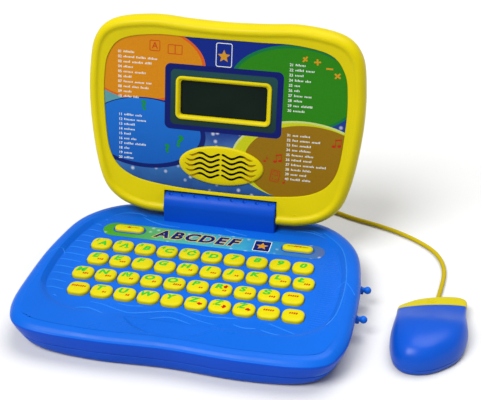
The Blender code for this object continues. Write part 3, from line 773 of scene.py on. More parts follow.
def smoothstep(low, high, value):
    t = min(max((value - low) / (high - low), 0.0), 1.0)
    return t * t * (3 - 2 * t)


def key_centres():
    centres = {}
    for row, (y, shift) in enumerate(KEY_ROWS):
        for column in range(10):
            centres["key_r%d_c%02d" % (row + 1, column + 1)] = ((column - 4.5) * KEY_PITCH + shift, y)
    return {**centres, **WIDE_KEY_PLACES}


def key_outline(name, grow=0.0):
    wide = name in WIDE_KEY_PLACES
    width, depth = WIDE_KEY_SIZE if wide else KEY_SIZE
    corner = WIDE_KEY_CORNER if wide else KEY_CORNER
    return rounded_rectangle(width + 2 * grow, depth + 2 * grow, corner + grow, key_centres()[name])


def ridge(points, width=1.15, height=0.5, z=DECK_Z):
    """A tapered moulded line that stands a little proud of a flat surface."""
    line = smooth_open([(x, y, z - 0.12) for x, y in points], 6)
    last = len(line) - 1
    radii = [width / 2 * (0.25 + 0.75 * math.sin(math.pi * i / last) ** 0.5) for i in range(last + 1)]
    return tube(line, radii, 8, (height + 0.12) / (width / 2))


WAVES = [
    [
        (-65, -54.6), (-55.6, -55.8), (-41.3, -60.3), (-32, -61.6), (-19.8, -58), (-7.6, -54.3),
        (1.4, -54.7), (15.4, -59.9), (28.5, -62.6),
    ],
    [(-72.7, -63.8), (-63.1, -62.2), (-49.6, -67)],
    [(-44.9, -52.6), (-35.8, -53.6), (-26, -51.9)],
    [(-17.6, -65.2), (-5.7, -61.2), (3.5, -62.7), (12.4, -65.9)],
    [(9, -52), (21, -54), (34, -53.2), (42, -51.8)],
    [(64, -53), (72, -56.2), (84.5, -61.4)],
    [(60, -61.2), (68, -64), (76, -64.8)],
    [(40, -59), (48, -61.8), (57, -60.6)],
    [(-63, 67.5), (-54, 62.2), (-42.2, 58.6), (-30, 58.4)],
    [(5.4, 63.2), (14, 59.6), (25.3, 57)],
    [(60.9, 71.9), (70, 72.9), (77.8, 71.2), (90.5, 64.2)],
    [(66, 76.2), (75.1, 75.1), (89.1, 67.1)],
    [(-88, 64), (-79, 70.4), (-68, 72), (-60, 69)],
]
LEFT_RIBS = [-52.5, -43.2, -33.9, -24.4, -15.2, -6.0, 3.0, 12.2, 21.2, 30.2, 39.2, 48.4, 57.0]
SEAM = [(104.5, 0.5), (108.4, 5.6), (113.4, -0.6), (118.2, -9.0)]
# Faces of the top case that lean out less than this are its sides.
SIDE_LEAN = 0.45
RECESS_CENTRE = (-3.2, -37.4)
RECESS_RADIUS = 47.0
RECESS_CHORD = -66.2
RECESS_FALL = 0.085
# The recess's wall: how far in from its arc, and how far above its floor.
RECESS_WALL = [(4.8, 0.0), (3.4, 0.12), (1.9, 0.8), (0.8, 1.6), (0.2, 2.4), (0.0, 5.0)]

# Each peg's place on the wall, as (distance to the rear, distance to the right).
PEGS = [(15.7, 120.1), (-21.5, 121.6)]
PEG_Z = 15
PEG_ROOT = 3
NUB_PROFILE = [(0, 0), (1.3, 0), (1.25, 4.4), (0.9, 5.0), (0, 5.1)]


def deck_edge(y):
    """How far the deck reaches to the side at a distance along the base."""
    for (xa, ya), (xb, yb) in zip(DECK_HALF[2:], DECK_HALF[3:]):
        if ya <= y <= yb:
            return xa + (xb - xa) * (y - ya) / (yb - ya)


def base_top_rings():
    """The top case from its lower edge over the rim to the deck, with a soft step at front and rear."""
    outline, heights = base_outline(), rim_heights()
    deck = smooth_closed(mirrored(DECK_HALF), BASE_STEPS)
    rings = [side_ring(10.15, 0.52, -0.5), side_ring(10.6, 0.545)]
    sides = [side_ring(z, share) for z, share in ((10.6, 0.545), (13.5, 0.7), (17, 0.86), (21, 1.0))]
    for distance, drop in ((1.5, 3.3), (4.4, 1.1), (8.4, 0.1)):
        sides.append([Vector((p.x, p.y, h - drop)) for p, h in zip(inset(outline, distance), heights)])
    crest, edge, low = [], [], []
    for outer, top, bottom, height in zip(inset(outline, 9.4), inset(deck, -3.4), inset(deck, 0.4), heights):
        front = 1 - smoothstep(-72, -40, top.y)
        rear = smoothstep(52, 74, top.y)
        flat = max(front, rear)
        steep, soft = height - 0.15, DECK_Z + 0.45 * (height - DECK_Z)
        crest.append(Vector((outer.x, outer.y, height)))
        edge.append(Vector((top.x, top.y, steep * (1 - flat) + soft * flat)))
        low.append(Vector((bottom.x, bottom.y, DECK_Z + 0.02 + 0.25 * (1 - flat))))
    sides += [crest, edge]
    rings += smooth_stack(sides, 4)[1:]
    middle = [a.lerp(b, 0.5) + Vector((0, 0, 0.2)) for a, b in zip(edge, low)]
    rings += [middle, low, level(inset(deck, 1.6), DECK_Z)]
    return rings


def side_pegs():
    """Two pegs with ball ends on the right wall, each with a small nub under its root."""
    profile = [(0, 0), (2.7, 0), (2.6, 3.2), (2.0, 4.0), (1.8, 5.4)]
    for i in range(8):
        angle = math.radians(16.5 * i - 42)
        profile.append((2.8 * math.cos(angle), 8.0 + 2.8 * math.sin(angle)))
    profile.append((0.01, 10.8))
    pegs = []
    for y, x in PEGS:
        pegs.append(turned(profile, Matrix.Translation((x - PEG_ROOT, y, PEG_Z)) @ TO_RIGHT, 24))
        nub = Matrix.Translation((x - PEG_ROOT, y - 0.2, PEG_Z - 2.6)) @ TO_RIGHT
        pegs.append(turned(NUB_PROFILE, nub, 16))
    return pegs


def finger_recess():
    """The cutter for the recess: level with the deck along its chord, deepest along its arc."""
    rings = []
    for distance, rise in RECESS_WALL:
        radius = RECESS_RADIUS - distance
        half = math.acos((RECESS_CENTRE[1] - RECESS_CHORD) / radius)
        ring = []
        for i in range(49):
            angle = half * (i / 24 - 1) - math.pi / 2
            x = RECESS_CENTRE[0] + radius * math.cos(angle)
            y = RECESS_CENTRE[1] + radius * math.sin(angle)
            ring.append(Vector((x, y, DECK_Z + 0.04 - RECESS_FALL * (RECESS_CHORD - y) + rise)))
        rings.append(ring)
    return lofted(rings)


def left_ribs():
    """Ribs from the deck's left edge towards the keys, each with a slight bow."""
    ribs = []
    for y in LEFT_RIBS:
        start, end = -deck_edge(y) + 0.2, -89.6 + 1.2 * math.sin(y)
        near, far = start * 0.7 + end * 0.3, start * 0.3 + end * 0.7
        ribs.append(ridge([(start, y), (near, y + 0.5), (far, y - 0.3), (end, y - 0.8)], 1.15, 0.55))
    return ribs


def right_ribs():
    """Fine ribs from the keys to the deck's right edge."""
    ribs = []
    y = -50.0
    while y < 62:
        edge = deck_edge(y) - 0.6
        inner = max(edge - 15, 89.5 if y < 27 else 90.5)
        if edge - inner > 3:
            ribs.append(ridge([(inner, y + 0.4), ((inner + edge) / 2, y - 0.1), (edge, y)], 0.8, 0.25))
        y += 2.6
    return ribs


def add_base_top():
    shell = lofted(base_top_rings())
    hollow = lofted([side_ring(9, 0.5, -WALL), side_ring(17, 0.86, -WALL), side_ring(21.6, 1.0, -3 * WALL)])
    shell = boolean(shell, hollow)
    shell = boolean(shell, merge(*[prism(key_outline(name, KEY_GAP), *KEY_WELL) for name in key_centres()]))
    shell = boolean(shell, finger_recess())
    surface = BVHTree.FromBMesh(shell)
    for face in shell.faces:
        if abs(face.normal.z) < SIDE_LEAN and face.calc_center_median().z < DECK_Z:
            face.material_index = 2
    polished = [ridge(wave) for wave in WAVES] + left_ribs()
    for side in (1, -1):
        seam = smooth_open([(side * x, y) for x, y in SEAM], 6)
        polished.append(laid_tube(surface, seam, 0.36, 0.1, 6))
    deck = smooth_closed(mirrored(DECK_HALF), BASE_STEPS)
    right_edge = [p for p in inset(deck, -3.3) if p.x > 60 and -50 < p.y < 74]
    polished.append(laid_tube(surface, right_edge, 0.5, 0.2, 8))
    shell = merge(shell, *side_pegs(), *right_ribs(), *[paint(shape, 1) for shape in polished])
    finishes = [base_blue, ridge_blue, side_blue]
    add_piece("base_upper_shell", shell, finishes, "base", ["base_top_case"], sharp=28)


# A pan head's shares of its radius, and heights.
HEAD_PROFILE = [(0, 1.7), (0.96, 1.7), (1, 1.2), (0.8, 0.35), (0.4, 0.06), (0, 0)]


def screw_heads(places, z, radius=2.5):
    """Crossed pan heads, with their recess cut into them."""
    profile = [(radius * share, height) for share, height in HEAD_PROFILE]
    heads = []
    for x, y in places:
        place = Matrix.Translation((x, y, z))
        head = turned(profile, place, 24)
        for turn in (0.4, 0.4 + math.pi / 2):
            bar = box((-radius * 0.62, -0.33, -1), (radius * 0.62, 0.33, 0.75))
            bar.transform(place @ Matrix.Rotation(turn + x, 4, "Z"))
            head = boolean(head, bar)
        heads.append(head)
    return merge(*heads)


def slotted_screw(profile, centre, half_slot, depth):
    """A screw whose head faces down, with one slot across it."""
    x, y = centre
    slot = box((x - half_slot, y - 0.3, -0.5), (x + half_slot, y + 0.3, depth))
    return boolean(standing(profile, x, y), slot)


CASE_SCREWS = [(-88, -52), (88, -52), (-88, 56), (88, 56), (0, -72)]
FOOT_PADS = [(-76, -74), (76, -74), (-92, 30), (92, 30)]
# Turned shapes in the underside: screw posts and their pits, and the foot pads with theirs.
POST_PROFILE = [(0, 1), (4.4, 1), (4.0, 14), (0, 14)]
POST_PIT_PROFILE = [(0, -1), (3.4, -1), (3.1, 5.2), (0, 5.2)]
PAD_PROFILE = [(0, 1.05), (6.0, 1.05), (6.0, 0.4), (5.6, 0.05), (0, 0.0)]
PAD_PIT_PROFILE = [(0, -1), (6.3, -1), (6.3, 1.1), (0, 1.1)]
DOOR_SIZE = (103.4, 29.0)
DOOR_Y = 70.0
DOOR_SCREW = (44, DOOR_Y)
DOOR_SCREW_PROFILE = [(0, 1.0), (2.5, 1.0), (2.5, 0.5), (1.6, 0.25), (0, 0.2)]
DOOR_GAP = 0.3
BAY_WALL = 2


def add_base_bottom():
    sides = [side_ring(0.0, -0.45), side_ring(0.9, -0.16), side_ring(4, 0.17), side_ring(9.4, 0.48)]
    shell = lofted(smooth_stack(sides, 4) + [side_ring(9.85, 0.505, -0.5)])
    hollow = lofted([side_ring(WALL, 0.0, -WALL), side_ring(5, 0.2, -WALL), side_ring(11, 0.56, -WALL)])
    shell = boolean(shell, hollow)
    x, y = DOOR_SIZE[0] / 2 + DOOR_GAP, DOOR_SIZE[1] / 2 + DOOR_GAP
    bay = box((-x - BAY_WALL, DOOR_Y - y - BAY_WALL, 1), (x + BAY_WALL, DOOR_Y + y + BAY_WALL, 19.2))
    shell = boolean(shell, bay, "UNION")
    shell = boolean(shell, box((-x, DOOR_Y - y, -1), (x, DOOR_Y + y, 17.2)))
    for place in CASE_SCREWS:
        shell = boolean(shell, standing(POST_PROFILE, *place), "UNION")
    cuts = [standing(POST_PIT_PROFILE, *place) for place in CASE_SCREWS]
    cuts += [standing(PAD_PIT_PROFILE, *place, 40) for place in FOOT_PADS]
    for i in range(9):
        cuts.append(prism(rounded_rectangle(22, 1.6, 0.79, (0, -14 + 4 * i), 5), -1, 0.9))
    label = rounded_rectangle(70, 26, 2, (0, -42))
    shell = boolean(shell, merge(*cuts, prism(label, -1, 0.25)))
    add_piece("base_lower_shell", shell, under_blue, "base", ["base_bottom_case"], sharp=28)
    add_piece("case_screws", screw_heads(CASE_SCREWS, 3.2), screw_steel, "base")
    pads = [standing(PAD_PROFILE, *place, 40) for place in FOOT_PADS]
    add_piece("foot_pads", merge(*pads), pad_rubber, "base")


def add_battery_door():
    outline = rounded_rectangle(*DOOR_SIZE, 0.8, (0, DOOR_Y), 3)
    door = lofted(insets(outline, [(0.4, 0.0), (0, 0.4), (0, 1.9)]))
    cuts = []
    for i in range(7):
        grip = rounded_rectangle(20 - abs(i - 3) * 3, 0.9, 0.44, (0, 60.5 + 1.7 * i), 4)
        cuts.append(prism(grip, -1, 0.5))
    cuts.append(standing([(0, -1), (3.0, -1), (3.0, 0.9), (0, 0.9)], *DOOR_SCREW))
    door = boolean(door, merge(*cuts))
    add_piece("battery_door_panel", door, under_blue, "base", ["battery_door"], sharp=28)
    screw = slotted_screw(DOOR_SCREW_PROFILE, DOOR_SCREW, 1.8, 0.6)
    add_piece("door_screw", screw, screw_steel, "base")


STRIP_LETTERS = {"A": -40.5, "B": -28.8, "C": -17.2, "D": -5.2, "E": 6.2, "F": 16.2}
# Two layers of each letter, an edge under a face: weight, material and how proud it stands.
LETTER_LAYERS = [(1.15, 3, 0.06), (0.55, 0, 0.12)]
SIGN_CENTRE = (39.8, 44.4)


def add_strip():
    """The printed strip above the keys, with the wide keys' openings, and its generic letters and sign."""
    outline = rounded_rectangle(177, 19, 9.4, (0, 44.5), 14)
    strip = lofted(insets(outline, [(0, DECK_Z - 0.1), (0, DECK_Z + 0.22), (0.25, DECK_Z + 0.3)]))
    holes = merge(*[prism(key_outline(name, 1.3), 20, 28) for name in WIDE_KEY_PLACES])
    strip = boolean(strip, holes)
    surface = BVHTree.FromBMesh(strip)
    add_piece("printed_strip", strip, strip_ink, "base", sharp=28)
    marks = []
    for text, x in STRIP_LETTERS.items():
        for weight, number, proud in LETTER_LAYERS:
            letter = moved(glyphs(text, 14.2, weight, 0.25, 1.08), x, SIGN_CENTRE[1])
            marks.append(paint(printed(letter, surface, DOWN, proud, 0.15), number))
    card = rounded_rectangle(13.4, 15.0, 1.0, SIGN_CENTRE, 4)
    for outline, number, proud in ((card, 2, 0.05), (inset(card, 0.6), 0, 0.09)):
        marks.append(paint(printed(flat_shape(outline), surface, DOWN, proud, 0.15), number))
    marks.append(paint(printed(flat_shape(star(39.8, 44.2, 5.0)), surface, DOWN, 0.13, 0.1), 1))
    inks = [navy_ink, amber_ink, panel_ink["white"], gold_ink]
    add_piece("strip_letters", merge(*marks), inks, "base")
    collars = []
    for name in WIDE_KEY_PLACES:
        rim = insets(key_outline(name, 1.25), [(0, DECK_Z - 0.2), (0, DECK_Z + 0.7), (0.3, DECK_Z + 0.9)])
        rim += insets(key_outline(name, KEY_GAP), [(-0.2, DECK_Z + 0.8), (0, DECK_Z - 0.2)])
        collars.append(lofted(rim, closed=True))
    add_piece("wide_key_collars", merge(*collars), base_blue, "base")


STAR_WAIST = 0.46
ARROW_SHAPE = [(-1, -0.4), (0, -0.4), (0, -1), (1.15, 0), (0, 1), (0, 0.4), (-1, 0.4)]
ARROW_SIZE = 1.9
STROKE_SLANT = 0.25


def star(x, y, radius):
    """A five-pointed star."""
    outline = []
    for i in range(10):
        reach = radius if i % 2 == 0 else radius * STAR_WAIST
        angle = math.pi / 2 + math.pi * i / 5
        outline.append((x + reach * math.cos(angle), y + reach * math.sin(angle)))
    return outline


def arrow(x, y, turn):
    """A short fat arrow that points along +X before it is turned."""
    return moved(flat_shape([(px * ARROW_SIZE, py * ARROW_SIZE) for px, py in ARROW_SHAPE]), x, y, turn)


def dashes(x, y, count, size=0.82):
    """A short row of strokes in place of a word."""
    strokes = []
    for i in range(count):
        tall = size * random.uniform(0.8, 1.35)
        px = x + (i - (count - 1) / 2) * size * 1.9
        wide, lean = size * 0.62, tall * STROKE_SLANT
        strokes.append([
            (px - wide - lean, y - tall), (px + wide - lean, y - tall),
            (px + wide + lean, y + tall), (px - wide + lean, y + tall),
        ])
    return flat_shape(*strokes)


KEY_LEGENDS = [
    "1A 2Ą 3B 4C 5Ć 6D 7 8 9 0".split(),
    "E Ę F G H I J K L Ł".split(),
    "M N Ń O Ó P R S Ś enter".split(),
    "repeat T U W Y Z Ź Ż help answer".split(),
]
WORD_STROKES = {"enter": 5, "repeat": 7, "help": 5, "answer": 4}
# How many red strokes stand beside each key's letter.
RED_STROKES = ["0000000000", "3300232033", "3322420330", "0220000000"]
ARROWS = {"key_r4_c06": math.pi, "key_r4_c07": -math.pi / 2, "key_r4_c08": 0.0, "key_r3_c07": math.pi / 2}
# A key's shoulder: how far below the top and how far in from the sides.
KEY_SHOULDER = [
    (3.3, 0.05), (2.1, 0.0), (1.35, 0.12), (0.75, 0.5), (0.36, 1.15), (0.12, 2.1), (0.03, 3.3), (0.0, 4.1),
]


def key_cap(name):
    """A pillow cap: upright sides, a well rounded shoulder and a gently crowned top."""
    section = [(0.5, KEY_BOTTOM_Z)] + [(distance, KEY_TOP_Z - drop) for drop, distance in KEY_SHOULDER]
    return lofted(insets(key_outline(name), section))


def key_print(name, legend, strokes, x, y):
    """The flat green and red signs of a key, as (faces, material number) pairs."""
    signs = []
    if legend in WORD_STROKES:
        rise = 1.2 if legend == "enter" else 0.9
        signs.append((dashes(x, y + rise, WORD_STROKES[legend]), 2))
    elif len(legend) == 2:
        signs.append((moved(glyphs(legend[0], 5.2, 0.2, 0.2, 1.2), x - 4.0, y + 2.2), 1))
        signs.append((moved(glyphs(legend[1], 7.6, 0.36, 0.2, 1.2), x + 1.2, y - 1.2), 1))
    elif legend.isdigit():
        signs.append((moved(glyphs(legend, 7.8, 0.36, 0.2, 1.25), x - 0.4, y + 0.4), 1))
    else:
        letter = "O" if legend == "Ó" else legend
        signs.append((moved(glyphs(letter, 7.6, 0.36, 0.2, 1.2), x - 2.2, y + 1.5), 1))
    if legend == "Ó":
        accent = [(x - 1.6, y + 4.9), (x - 0.6, y + 4.9), (x + 0.6, y + 6.0), (x - 0.5, y + 6.0)]
        signs.append((flat_shape(accent), 1))
    if strokes:
        signs.append((dashes(x + 2.9, y - 2.9, strokes), 2))
    if name in ARROWS:
        rise = 1.9 if legend == "R" else -1.9
        signs.append((arrow(x + 3.2, y + rise, ARROWS[name]), 2))
    if legend == "R":
        signs.append((dashes(x + 2.9, y - 3.0, 2), 2))
    return signs


def wide_key_print(name, x, y):
    """A red triangle on the left wide key and red strokes on the right one."""
    if name == "wide_key_left":
        return [(flat_shape([(x - 1.5, y - 1.1), (x + 1.5, y - 1.1), (x, y + 1.3)]), 2)]
    return [(dashes(x, y + 0.2, 4, 0.75), 2)]


def add_keys():
    centres = key_centres()
    legends = [legend for row in KEY_LEGENDS for legend in row]
    strokes = [int(count) for row in RED_STROKES for count in row]
    for index, (name, (x, y)) in enumerate(centres.items()):
        cap = key_cap(name)
        surface = BVHTree.FromBMesh(cap)
        if name in WIDE_KEY_PLACES:
            signs = wide_key_print(name, x, y)
        else:
            signs = key_print(name, legends[index], strokes[index], x, y)
        shapes = [paint(printed(flat, surface, DOWN, 0.09, 0.12, 0.8), number) for flat, number in signs]
        finishes = [key_yellow, green_ink, red_ink]
        add_piece(name + "_cap", merge(cap, *shapes), finishes, name, [name], sharp=40)


# Hinge.

# How far each step of the hump's end is from its tip, and how much smaller it is there.
HUMP_END = [(1.4, 0), (0.6, 0.15), (0, 0.7)]
DIMPLE_RADIUS = 1.9
DIMPLE_LIFT = 0.7
DIMPLE_ANGLE = math.radians(118)
DIMPLE_PITCH = 10


def on_hump(x, radius, angle):
    """A point round the hinge's axis."""
    return Vector((x, HINGE_Y + radius * math.cos(angle), HINGE_Z + radius * math.sin(angle)))


def add_hinge():
    ends = [(HUMP_HALF_LENGTH - step, shrink) for step, shrink in HUMP_END]
    rings = []
    for x, shrink in [(-x, shrink) for x, shrink in reversed(ends)] + ends:
        radius = HUMP_RADIUS - shrink
        ring = [Vector((x, HINGE_Y + side * radius, DECK_Z - 0.1)) for side in (-1, 1)]
        rings.append(ring + [on_hump(x, radius, math.pi * i / 32) for i in range(33)])
    dimples = []
    for i in range(-4, 5):
        ball = bmesh.new()
        place = Matrix.Translation(on_hump(DIMPLE_PITCH * i, HUMP_RADIUS + DIMPLE_LIFT, DIMPLE_ANGLE))
        bmesh.ops.create_uvsphere(ball, u_segments=20, v_segments=12, radius=DIMPLE_RADIUS, matrix=place)
        dimples.append(ball)
    hump = boolean(lofted(rings), merge(*dimples))
    add_piece("hinge_hump", hump, hinge_blue, "base", ["hinge_cover"], sharp=30)


# Lid. Each section has (inset, depth) pairs.

FRONT_SECTION = [
    (0.0, 9.3), (0.05, 7.2), (0.5, 4.8), (1.5, 2.7), (3.0, 1.0), (4.5, 0.2), (5.7, 0.0), (6.9, 0.3),
    (8.0, 1.0), (9.0, 1.5), (10.0, 1.75),
]
PANEL_STEP = [(-0.9, 2.0), (-0.35, 2.15), (-0.1, 2.5), (-0.1, PANEL_DEPTH + 0.3)]
BACK_SECTION = [(0.0, 10.6), (0.4, 13.6), (1.6, 16.4), (3.6, 18.4), (6.6, 19.6), (10.5, 20.0)]
RIM_SECTION = [
    (0.0, 3.2), (0.0, 2.2), (0.25, 1.75), (0.8, 1.55), (1.4, 1.55), (2.0, 1.75), (3.1, 3.0),
    (3.25, 3.4), (3.25, 5.2), (1.0, 5.2), (1.0, 3.2),
]


def lid_outline():
    return smooth_closed(mirrored(LID_HALF), LID_STEPS)


def hinge_notch(grow=0.0):
    """The cutter that leaves room for the hinge."""
    half = NOTCH_HALF_WIDTH + grow
    return box((-half, -5, -10), (half, 30, NOTCH_TOP + grow))


def lid_half(rings, hollow):
    """A half of the lid's case, from the rings of its outside and of its inside."""
    shell = boolean(lofted(rings), hinge_notch())
    return boolean(shell, boolean(lofted(hollow), hinge_notch(NOTCH_WALL)))


def add_lid_front():
    outline = lid_outline()
    panel = smooth_closed(mirrored(PANEL_HALF), LID_STEPS)
    rings = insets(outline, [(0.5, 9.85)], lid_ring)
    rings += smooth_stack(insets(outline, FRONT_SECTION, lid_ring), 3)
    rings += insets(panel, PANEL_STEP, lid_ring)
    front = lid_half(rings, insets(outline, [(3.2, 5.3), (2.4, 11)], lid_ring))
    window = rounded_rectangle(*WINDOW_SIZE, 2.4, (0, WINDOW_HEIGHT))
    sound = ellipse((0, GRILLE_HEIGHT), (26, 12), 48)
    for opening in (window, sound):
        front = boolean(front, prism(opening, *LID_OPENING, lid_ring))
    surface = BVHTree.FromBMesh(front)
    circles = []
    for centre in ((-63, 14.4), (61, 14.0)):
        circle = ring_shape(ellipse(centre, (3.4, 3.4), 32), 0.5)
        circles.append(printed(circle, surface, INTO_LID, 0.14, 0.3))
    front = merge(front, *circles)
    add_piece("lid_front_shell", front, lid_yellow, "lid", ["lid_front_frame"], 30)


def add_window_rim():
    outline = rounded_rectangle(*WINDOW_RIM, 4.6, (0, WINDOW_HEIGHT), 8)
    rim = lofted(insets(outline, RIM_SECTION, lid_ring), closed=True)
    add_piece("window_rim", rim, lid_yellow, "lid", sharp=40)
    pane = rounded_rectangle(WINDOW_SIZE[0] + 3, WINDOW_SIZE[1] + 3, 2, (0, WINDOW_HEIGHT))
    glass = prism(pane, 6.5, 5.5, lid_ring)
    add_piece("window_pane", glass, lcd_glass, "lid", ["display_window"])


# The speaker grille: shares of its size and depths, then its slots.
DOME_SECTION = [
    (1.03, 3.3), (1.03, 2.6), (1.015, 1.9), (0.985, 1.45), (0.94, 1.2), (0.8, 0.95), (0.55, 0.75),
    (0.25, 0.68),
]
SLOT_PITCH = 4.2
SLOT_START = 0.55
WAVE_STEPS = 36
WAVE_HEIGHT = 1.35
WAVE_LENGTH = 15.6
WAVE_SHIFT = 0.6


def wave_strip(height, start, end, width, taper):
    """A wavy strip across the speaker grille: its outline from one end to the other and back."""
    upper, lower = [], []
    for i in range(WAVE_STEPS + 1):
        x = start + (end - start) * i / WAVE_STEPS
        y = height + WAVE_HEIGHT * math.cos(2 * math.pi * (abs(x) - WAVE_SHIFT) / WAVE_LENGTH)
        narrow = min(1.0, 0.2 + (WAVE_STEPS - i) / WAVE_STEPS * taper, 0.35 + i / WAVE_STEPS * 12)
        upper.append(Vector((x, y + width / 2 * narrow)))
        lower.append(Vector((x, y - width / 2 * narrow)))
    return lower + upper[::-1] if end > start else upper + lower[::-1]


def add_speaker():
    """The raised oval with five rows of wavy slots, which run out into grooves at their ends."""
    across, up = GRILLE_SIZE[0] / 2, GRILLE_SIZE[1] / 2
    rings = []
    for share, depth in DOME_SECTION:
        rings.append(lid_ring(ellipse((0, GRILLE_HEIGHT), (across * share, up * share), 96), depth))
    dome = lofted(rings)
    grooves, slots = [], []
    for row in range(-2, 3):
        height = GRILLE_HEIGHT + row * SLOT_PITCH
        reach = across * math.sqrt(1 - (row * SLOT_PITCH / (up + 3)) ** 2)
        for side in (-1, 1):
            slot = wave_strip(height, side * SLOT_START, side * (reach - 10.0), 1.9, 8)
            groove = wave_strip(height, side * SLOT_START, side * (reach - 3.8), 1.7, 7)
            slots.append(paint(prism(slot, -2, 6, lid_ring), 1))
            grooves.append(paint(prism(groove, -2, 1.7, lid_ring), 2))
    for cutters in (grooves, slots):
        dome = boolean(dome, merge(*cutters))
    finishes = [lid_yellow, slot_dark, groove_brown]
    add_piece("speaker_grille", dome, finishes, "lid", sharp=35)
    cloth = prism(ellipse((0, GRILLE_HEIGHT), (27.5, 12.6), 48), 3.9, 4.4, lid_ring)
    add_piece("speaker_cloth", cloth, slot_dark, "lid")


# Printed panel: shapes are painted in order, each over the ones before it.
PANEL_SHAPES = [
    ([Vector(p) for p in ((-60, 128), (60, 128), (60, 160), (-60, 160))], 12),
    ([Vector(p) for p in ((-100, 80), (-74, 80), (-74, 112), (-100, 112))], 11),
    (ellipse((-64.4, 127.2), (50.0, 30.0)), 13),
    (ellipse((-65.2, 127.4), (48.2, 28.4)), 1),
    (ellipse((-61.7, 71.6), (48.7, 28.7)), 6),
    (ellipse((-62.7, 72.8), (45.7, 26.6)), 2),
    (ellipse((54.4, 117.0), (50.4, 33.2)), 3),
    (ellipse((54.7, 116.9), (47.9, 31.0)), 4),
    (ellipse((63.1, 60.5), (55.0, 32.2)), 8),
    (ellipse((63.4, 59.6), (53.9, 31.6)), 9),
    (ellipse((68.1, 57.6), (50.2, 31.7)), 5),
    (rounded_rectangle(92.5, 51.9, 4.5, (0, 102.95)), 7),
    (rounded_rectangle(83.4, 43.6, 3.6, (0, 102.75)), 10),
]
PANEL_INKS = [
    violet_ink, panel_ink["orange"], sky_ink, panel_ink["teal"], panel_ink["green"], panel_ink["ochre"],
    navy_ink, frame_blue_ink, panel_ink["cream"], panel_ink["lime"], frame_ink, panel_ink["pale_teal"],
    deep_ink, panel_ink["rust"],
]
PANEL_THICKNESS = 0.28


def inside(point, outline):
    """Whether a point is inside an outline, by the even-odd rule."""
    found = False
    for a, b in zip(outline, outline[1:] + outline[:1]):
        if (a.y > point.y) != (b.y > point.y):
            if point.x < a.x + (b.x - a.x) * (point.y - a.y) / (b.y - a.y):
                found = not found
    return found


def add_panel():
    """The printed sheet as one thin solid, its face divided along the edges of the shapes."""
    panel = smooth_closed(mirrored(PANEL_HALF), LID_STEPS)
    sheet = inset(panel, 0.05)
    window = rounded_rectangle(WINDOW_RIM[0] - 1, WINDOW_RIM[1] - 1, 4.1, (0, WINDOW_HEIGHT))
    sound = ellipse((0, GRILLE_HEIGHT), (30.5, 13.6), 64)
    points, edges = [], []
    for outline in [sheet, window, sound] + [shape for shape, _ in PANEL_SHAPES]:
        start = len(points)
        points += outline
        edges += [(start + i, start + (i + 1) % len(outline)) for i in range(len(outline))]
    found, _, faces, *_ = delaunay_2d_cdt(points, edges, [], 0, 1e-5)
    bm = bmesh.new()
    front = [bm.verts.new((p.x, PANEL_DEPTH, p.y)) for p in found]
    for face in faces:
        middle = sum((found[i] for i in face), Vector((0, 0))) / len(face)
        if not inside(middle, sheet) or inside(middle, window) or inside(middle, sound):
            continue
        made = bm.faces.new([front[i] for i in face])
        for outline, number in PANEL_SHAPES:
            if inside(middle, outline):
                made.material_index = number
    bmesh.ops.delete(bm, geom=[v for v in bm.verts if not v.link_faces], context="VERTS")
    body = bmesh.ops.extrude_face_region(bm, geom=list(bm.faces))
    verts = [item for item in body["geom"] if isinstance(item, bmesh.types.BMVert)]
    bmesh.ops.translate(bm, vec=(0, PANEL_THICKNESS, 0), verts=verts)
    add_piece("panel_sheet", bm, PANEL_INKS, "lid", sharp=60)


def note(x, y, size, pair, turn):
    """A musical note, or two joined, from oval heads, stems and a flag or beam."""
    outlines = []
    for hx, hy in [(0, 0), (1.15, 0.15)] if pair else [(0, 0)]:
        outlines.append(ellipse((hx, hy), (0.42, 0.3), 16))
        outlines.append([(hx + 0.28, hy), (hx + 0.42, hy), (hx + 0.42, hy + 1.5), (hx + 0.28, hy + 1.5)])
    if pair:
        outlines.append([(0.28, 1.25), (1.57, 1.4), (1.57, 1.72), (0.28, 1.55)])
    else:
        outlines.append([(0.28, 1.5), (0.28, 1.15), (0.95, 0.75), (0.85, 1.1)])
    sized = [[(px * size, py * size) for px, py in outline] for outline in outlines]
    return moved(flat_shape(*sized), x, y, turn)


def ring_shape(outline, width):
    """The flat band inside an outline."""
    inner = inset([Vector(p) for p in outline], width)
    bm = bmesh.new()
    outer_verts = [bm.verts.new((p[0], p[1], 0)) for p in outline]
    inner_verts = [bm.verts.new((p.x, p.y, 0)) for p in inner]
    for i in range(len(outline)):
        j = (i + 1) % len(outline)
        bm.faces.new((outer_verts[i], outer_verts[j], inner_verts[j], inner_verts[i]))
    return bm


# Each list's left edge, top, first number and the words in its rows.
LISTS = [
    (-84.2, 134.8, 1, (1, 3, 3, 1, 2)), (-83.7, 84.8, 11, (2, 2, 1, 1, 1)),
    (49.9, 135.3, 21, (1, 2, 1, 2, 1)), (50.6, 80.7, 31, (2, 3, 2, 2, 2)),
]
ROW_PITCH = 3.92
STROKE_HEIGHTS = (0.55, 0.55, 0.62, 0.85)
# Signs from the font: text, place, size, weight, width, turn and ink.
FONT_SIGNS = [
    ("?", (-63, 93.4), 10.5, 0.4, 1.35, 0.25, 2), ("?", (-33.9, 66.8), 13, 0.4, 1.35, -0.2, 2),
    ("?", (-43.8, 60.2), 9.5, 0.4, 1.35, 0.15, 2), ("÷", (61.8, 140.1), 9, 0.25, 1.1, 0.9, 1),
    ("+", (70.8, 138.4), 9, 0.25, 1.1, 0.1, 1), ("−", (80.1, 134.1), 9, 0.25, 1.1, 0.0, 1),
    ("×", (86.4, 129.2), 9, 0.25, 1.1, 0.1, 1), ("A", (-54.6, 141.3), 7.0, 0.05, 1.0, 0.0, 4),
]
